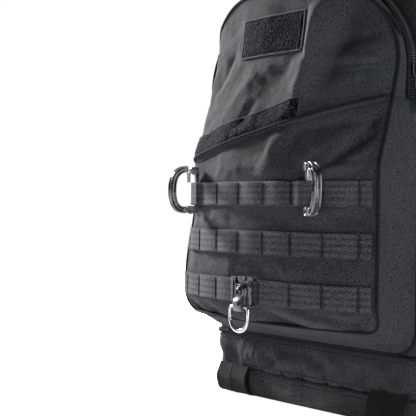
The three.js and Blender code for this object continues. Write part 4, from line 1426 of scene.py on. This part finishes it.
handle_line = smooth_path([(-57, 63, 496.5), (-56, 63, 502), (-44, 63, 507.4), (-20, 63, 509.4),
                           (0, 63, 509.8), (20, 63, 509.4), (44, 63, 507.4), (56, 63, 502),
                           (57, 63, 496.5)], 5)
strap("haul_handle_webbing", handle_line, 26, "rear_half", webbing, "haul_handle", ups=(0, 1, 0), thick=3.2)
chest_left = smooth_path([(-64, 167.5, 360), (-58, 171, 360), (-40, 171.6, 360), (-17.6, 171.3, 360)], 5)
strap("sternum_webbing_left_skin", chest_left, 19, "sternum_strap", webbing, "sternum_webbing_left",
      ups=(0, 0, 1), thick=1.6)
chest_right = smooth_path([(64, 168, 360), (58, 175, 360), (40, 177.6, 360), (20, 177.8, 360),
                           (6, 177.7, 360)], 5)
strap("sternum_webbing_right_skin", chest_right, 19, "sternum_strap", webbing, "sternum_webbing_right",
      ups=(0, 0, 1), thick=1.4)

# %% [markdown]
# ## Pads, shoulder straps and hip wings
# Foam is cut and slipped into a cover of nylon and spacer mesh. The cover is filled by air
# pressure in a short cloth simulation while its quilting lines are held, so it swells between
# them as real padding does. The left side is made and mirrored for the right.

# %% Padding
def baked(piece):
    """Turns a piece's modifiers into its mesh."""
    shape = bpy.data.meshes.new_from_object(piece.evaluated_get(bpy.context.evaluated_depsgraph_get()))
    piece.modifiers.clear()
    piece.data = shape
    return piece


SWELL_FRAMES = 20


def stuffed(piece, held, voxel_mm=5.0, cap_mm=3.0):
    """Fills a cover with air while the points for which held is true stay sewn down."""
    remesh = piece.modifiers.new("even cloth", "REMESH")
    remesh.mode = "VOXEL"
    remesh.voxel_size = voxel_mm * MM
    baked(piece)
    rest = [v.co.copy() for v in piece.data.vertices]
    sewn = piece.vertex_groups.new(name="sewn")
    sewn.add([i for i, p in enumerate(rest) if held(p / MM)], 1.0, "REPLACE")
    cover = piece.modifiers.new("cover", "CLOTH")
    cover.settings.use_pressure = True
    cover.settings.uniform_pressure_force = 4.0
    cover.settings.effector_weights.gravity = 0.0
    cover.settings.vertex_group_mass = "sewn"
    cover.point_cache.frame_start = 1
    cover.point_cache.frame_end = SWELL_FRAMES
    for frame_number in range(1, SWELL_FRAMES + 1):
        bpy.context.scene.frame_set(frame_number)
    graph = bpy.context.evaluated_depsgraph_get()
    swollen = [v.co.copy() for v in piece.evaluated_get(graph).data.vertices]
    piece.modifiers.clear()
    bpy.context.scene.frame_set(1)
    for vertex, was, now in zip(piece.data.vertices, rest, swollen):
        move = now - was
        if move.length > cap_mm * MM:
            move = move.normalized() * cap_mm * MM
        vertex.co = was + move
    for face in piece.data.polygons:
        face.use_smooth = True
    rounder = piece.modifiers.new("rounder", "SUBSURF")
    rounder.levels = 1
    rounder.render_levels = 1
    return piece


def mirrored(piece, name):
    mesh = piece.data.copy()
    mesh.transform(Matrix.Scale(-1, 4, (1, 0, 0)))
    mesh.flip_normals()
    other = bpy.data.objects.new(name, mesh)
    bpy.context.collection.objects.link(other)
    for old in piece.modifiers:
        if old.type == "SUBSURF":
            new = other.modifiers.new(old.name, "SUBSURF")
            new.levels = new.render_levels = 1
    return other


def pad(name, outline_points, y0, y1, channels, *nodes, both=True):
    """A back pad between two depths with quilting channels at the given heights."""
    pad_piece = extruded(name, outline_points, y0 + 1, y1 - 2)
    stuffed(pad_piece, lambda p: p.y < y0 + 2.5 or any(abs(p.z - c) < 3 for c in channels))
    pieces = [(pad_piece, nodes[0])]
    rim_line = [(x, y0 + 3, z) for x, z in outline_points]
    rim = sweep(f"{name}_binding", rim_line, circle(1.9, 8), (0, 1, 0), closed=True)
    rims = [rim]
    if both:
        pieces.append((mirrored(pad_piece, f"{name}_right"), nodes[1]))
        rims.append(mirrored(rim, f"{name}_binding_right"))
    for piece, node in pieces:
        dress(piece, "rear_half", spacer_mesh, "padding", node)
    for piece in rims:
        dress(piece, "rear_half", binding, "padding")


pad("back_pad_cover", rounded(-120, -24, 152, 423, 22), 95.4, 110.4, (205, 260, 315, 370),
    "back_pad_left", "back_pad_right")
pad("lumbar_cover", rounded(-120, 120, 46, 138, 24), 95.4, 112.4, (92,), "lumbar_pad", both=False)

SHOULDER_X = 64.5
ROUTE = [(103, 456), (122, 462), (143, 446), (154, 402), (158, 330), (152, 250), (140, 178)]
route = smooth_path([(-SHOULDER_X, y, z) for y, z in ROUTE], 6)
section = [(a, b) for b, a in rounded(-31, 31, -5, 5, 4.2, 3)]
harness = sweep("shoulder_cover", route, section, (1, 0, 0))
stuffed(harness, lambda p: abs(p.x + SHOULDER_X) > 27 or abs((p.z - 190) % 46) < 2.4, 5.0, 2.4)
harness_right = mirrored(harness, "shoulder_cover_right")
for piece, tag in ((harness, "left"), (harness_right, "right")):
    dress(piece, "rear_half", nylon, "padding", f"shoulder_strap_{tag}")
for side, tag in ((-1, "left"), (1, "right")):
    carry = []
    for i, (x, y, z) in enumerate(route[6:]):
        back, front = route[max(0, i + 5)], route[min(len(route) - 1, i + 7)]
        along = Vector((0, front[1] - back[1], front[2] - back[2])).normalized()
        away = Vector((0, -along.z, along.y))
        carry.append((side * SHOULDER_X, y + away.y * 7.8, z + away.z * 7.8))
    strap(f"carry_webbing_{tag}", carry, 25, "rear_half", webbing, thick=1.6)
    for edge in (-1, 1):
        rim_line = [(side * SHOULDER_X + edge * 31.6, y, z) for x, y, z in route]
        edge_binding = sweep(f"shoulder_binding_{tag}_{edge}", rim_line, circle(1.9, 8), (1, 0, 0))
        dress(edge_binding, "rear_half", binding, "padding")

WING = [(-134, 97), (-134, 118), (-130, 132), (-114, 144), (-88, 149), (-56, 151.6), (-24, 152)]
wing_line = smooth_path([(x, y, 90) for x, y in WING], 6)
wing_section = [(a, b) for b, a in rounded(-35, 35, -4.6, 4.6, 4, 3)]
wing = sweep("hip_wing_cover", wing_line, wing_section, (0, 0, 1))
stuffed(wing, lambda p: abs(p.z - 90) > 32 or abs(p.x + 100) < 2.4 or abs(p.x + 64) < 2.4, 5.0, 2.2)
wing_right = mirrored(wing, "hip_wing_cover_right")
for piece, tag in ((wing, "left"), (wing_right, "right")):
    dress(piece, f"hip_wing_{tag}", nylon, "padding", f"hip_wing_{tag}")
for side, tag in ((-1, "left"), (1, "right")):
    belt = [(-side * x, y + 6.0, z) for x, y, z in wing_line[14:]]
    strap(f"hip_webbing_{tag}", belt, 38, f"hip_wing_{tag}", webbing, ups=(0, 0, 1), thick=1.6)
print("padding made")

# %% [markdown]
# ## Inside the pack, and the buckles
# The hydration sleeve hangs on its elastic top inside the rear half. Buckles, stays and the frame
# sheet keep their CAD shape, which is already exact, and take softened edges and a real finish.

# %% Sleeve and carried-over parts
sleeve_low, sleeve_high = box_mm("hydration_sleeve")
sleeve_rows = []
for i in range(41):
    z = sleeve_low[2] + (sleeve_high[2] - sleeve_low[2]) * i / 40
    gather = smoothstep(30, 0, sleeve_high[2] - z)
    sleeve_rows.append([(x, sleeve_high[1] - 2.5 - 1.2 * math.sin(math.pi * (x + 110) / 220)
                         + 0.8 * ripple(x, 0, z, 30) + gather * 1.0 * math.sin(x / 2.3), z)
                        for x in range(-110, 111, 2)])
sleeve = thicken(grid("sleeve_cloth", sleeve_rows), 1.2, 0)
dress(sleeve, "rear_half", lining, "nylon", "hydration_sleeve")
sleeve_top = [(x, sleeve_high[1] - 3.2, sleeve_high[2] + 0.6) for x in range(-110, 111, 4)]
dress(sweep("sleeve_elastic", sleeve_top, circle(2.0, 8), (0, 0, 1)), "rear_half", binding, "nylon")

BUCKLES = ("strap_adjuster_left", "strap_adjuster_right", "hip_socket", "hip_plug", "sternum_socket",
           "sternum_plug", "compression_socket_left", "compression_socket_right",
           "compression_plug_left", "compression_plug_right")
KEPT = {"frame_sheet": polyethylene, "stay_left": aluminium, "stay_right": aluminium}
KEPT.update((node, buckle_acetal) for node in BUCKLES)
for node, material in KEPT.items():
    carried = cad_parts[node]
    for slot_of in carried.material_slots:
        slot_of.material = material
    if not carried.material_slots:
        carried.data.materials.append(material)
    bevel(carried, 0.9, 3)
print("carried over", len(KEPT), "CAD nodes with new finishes")
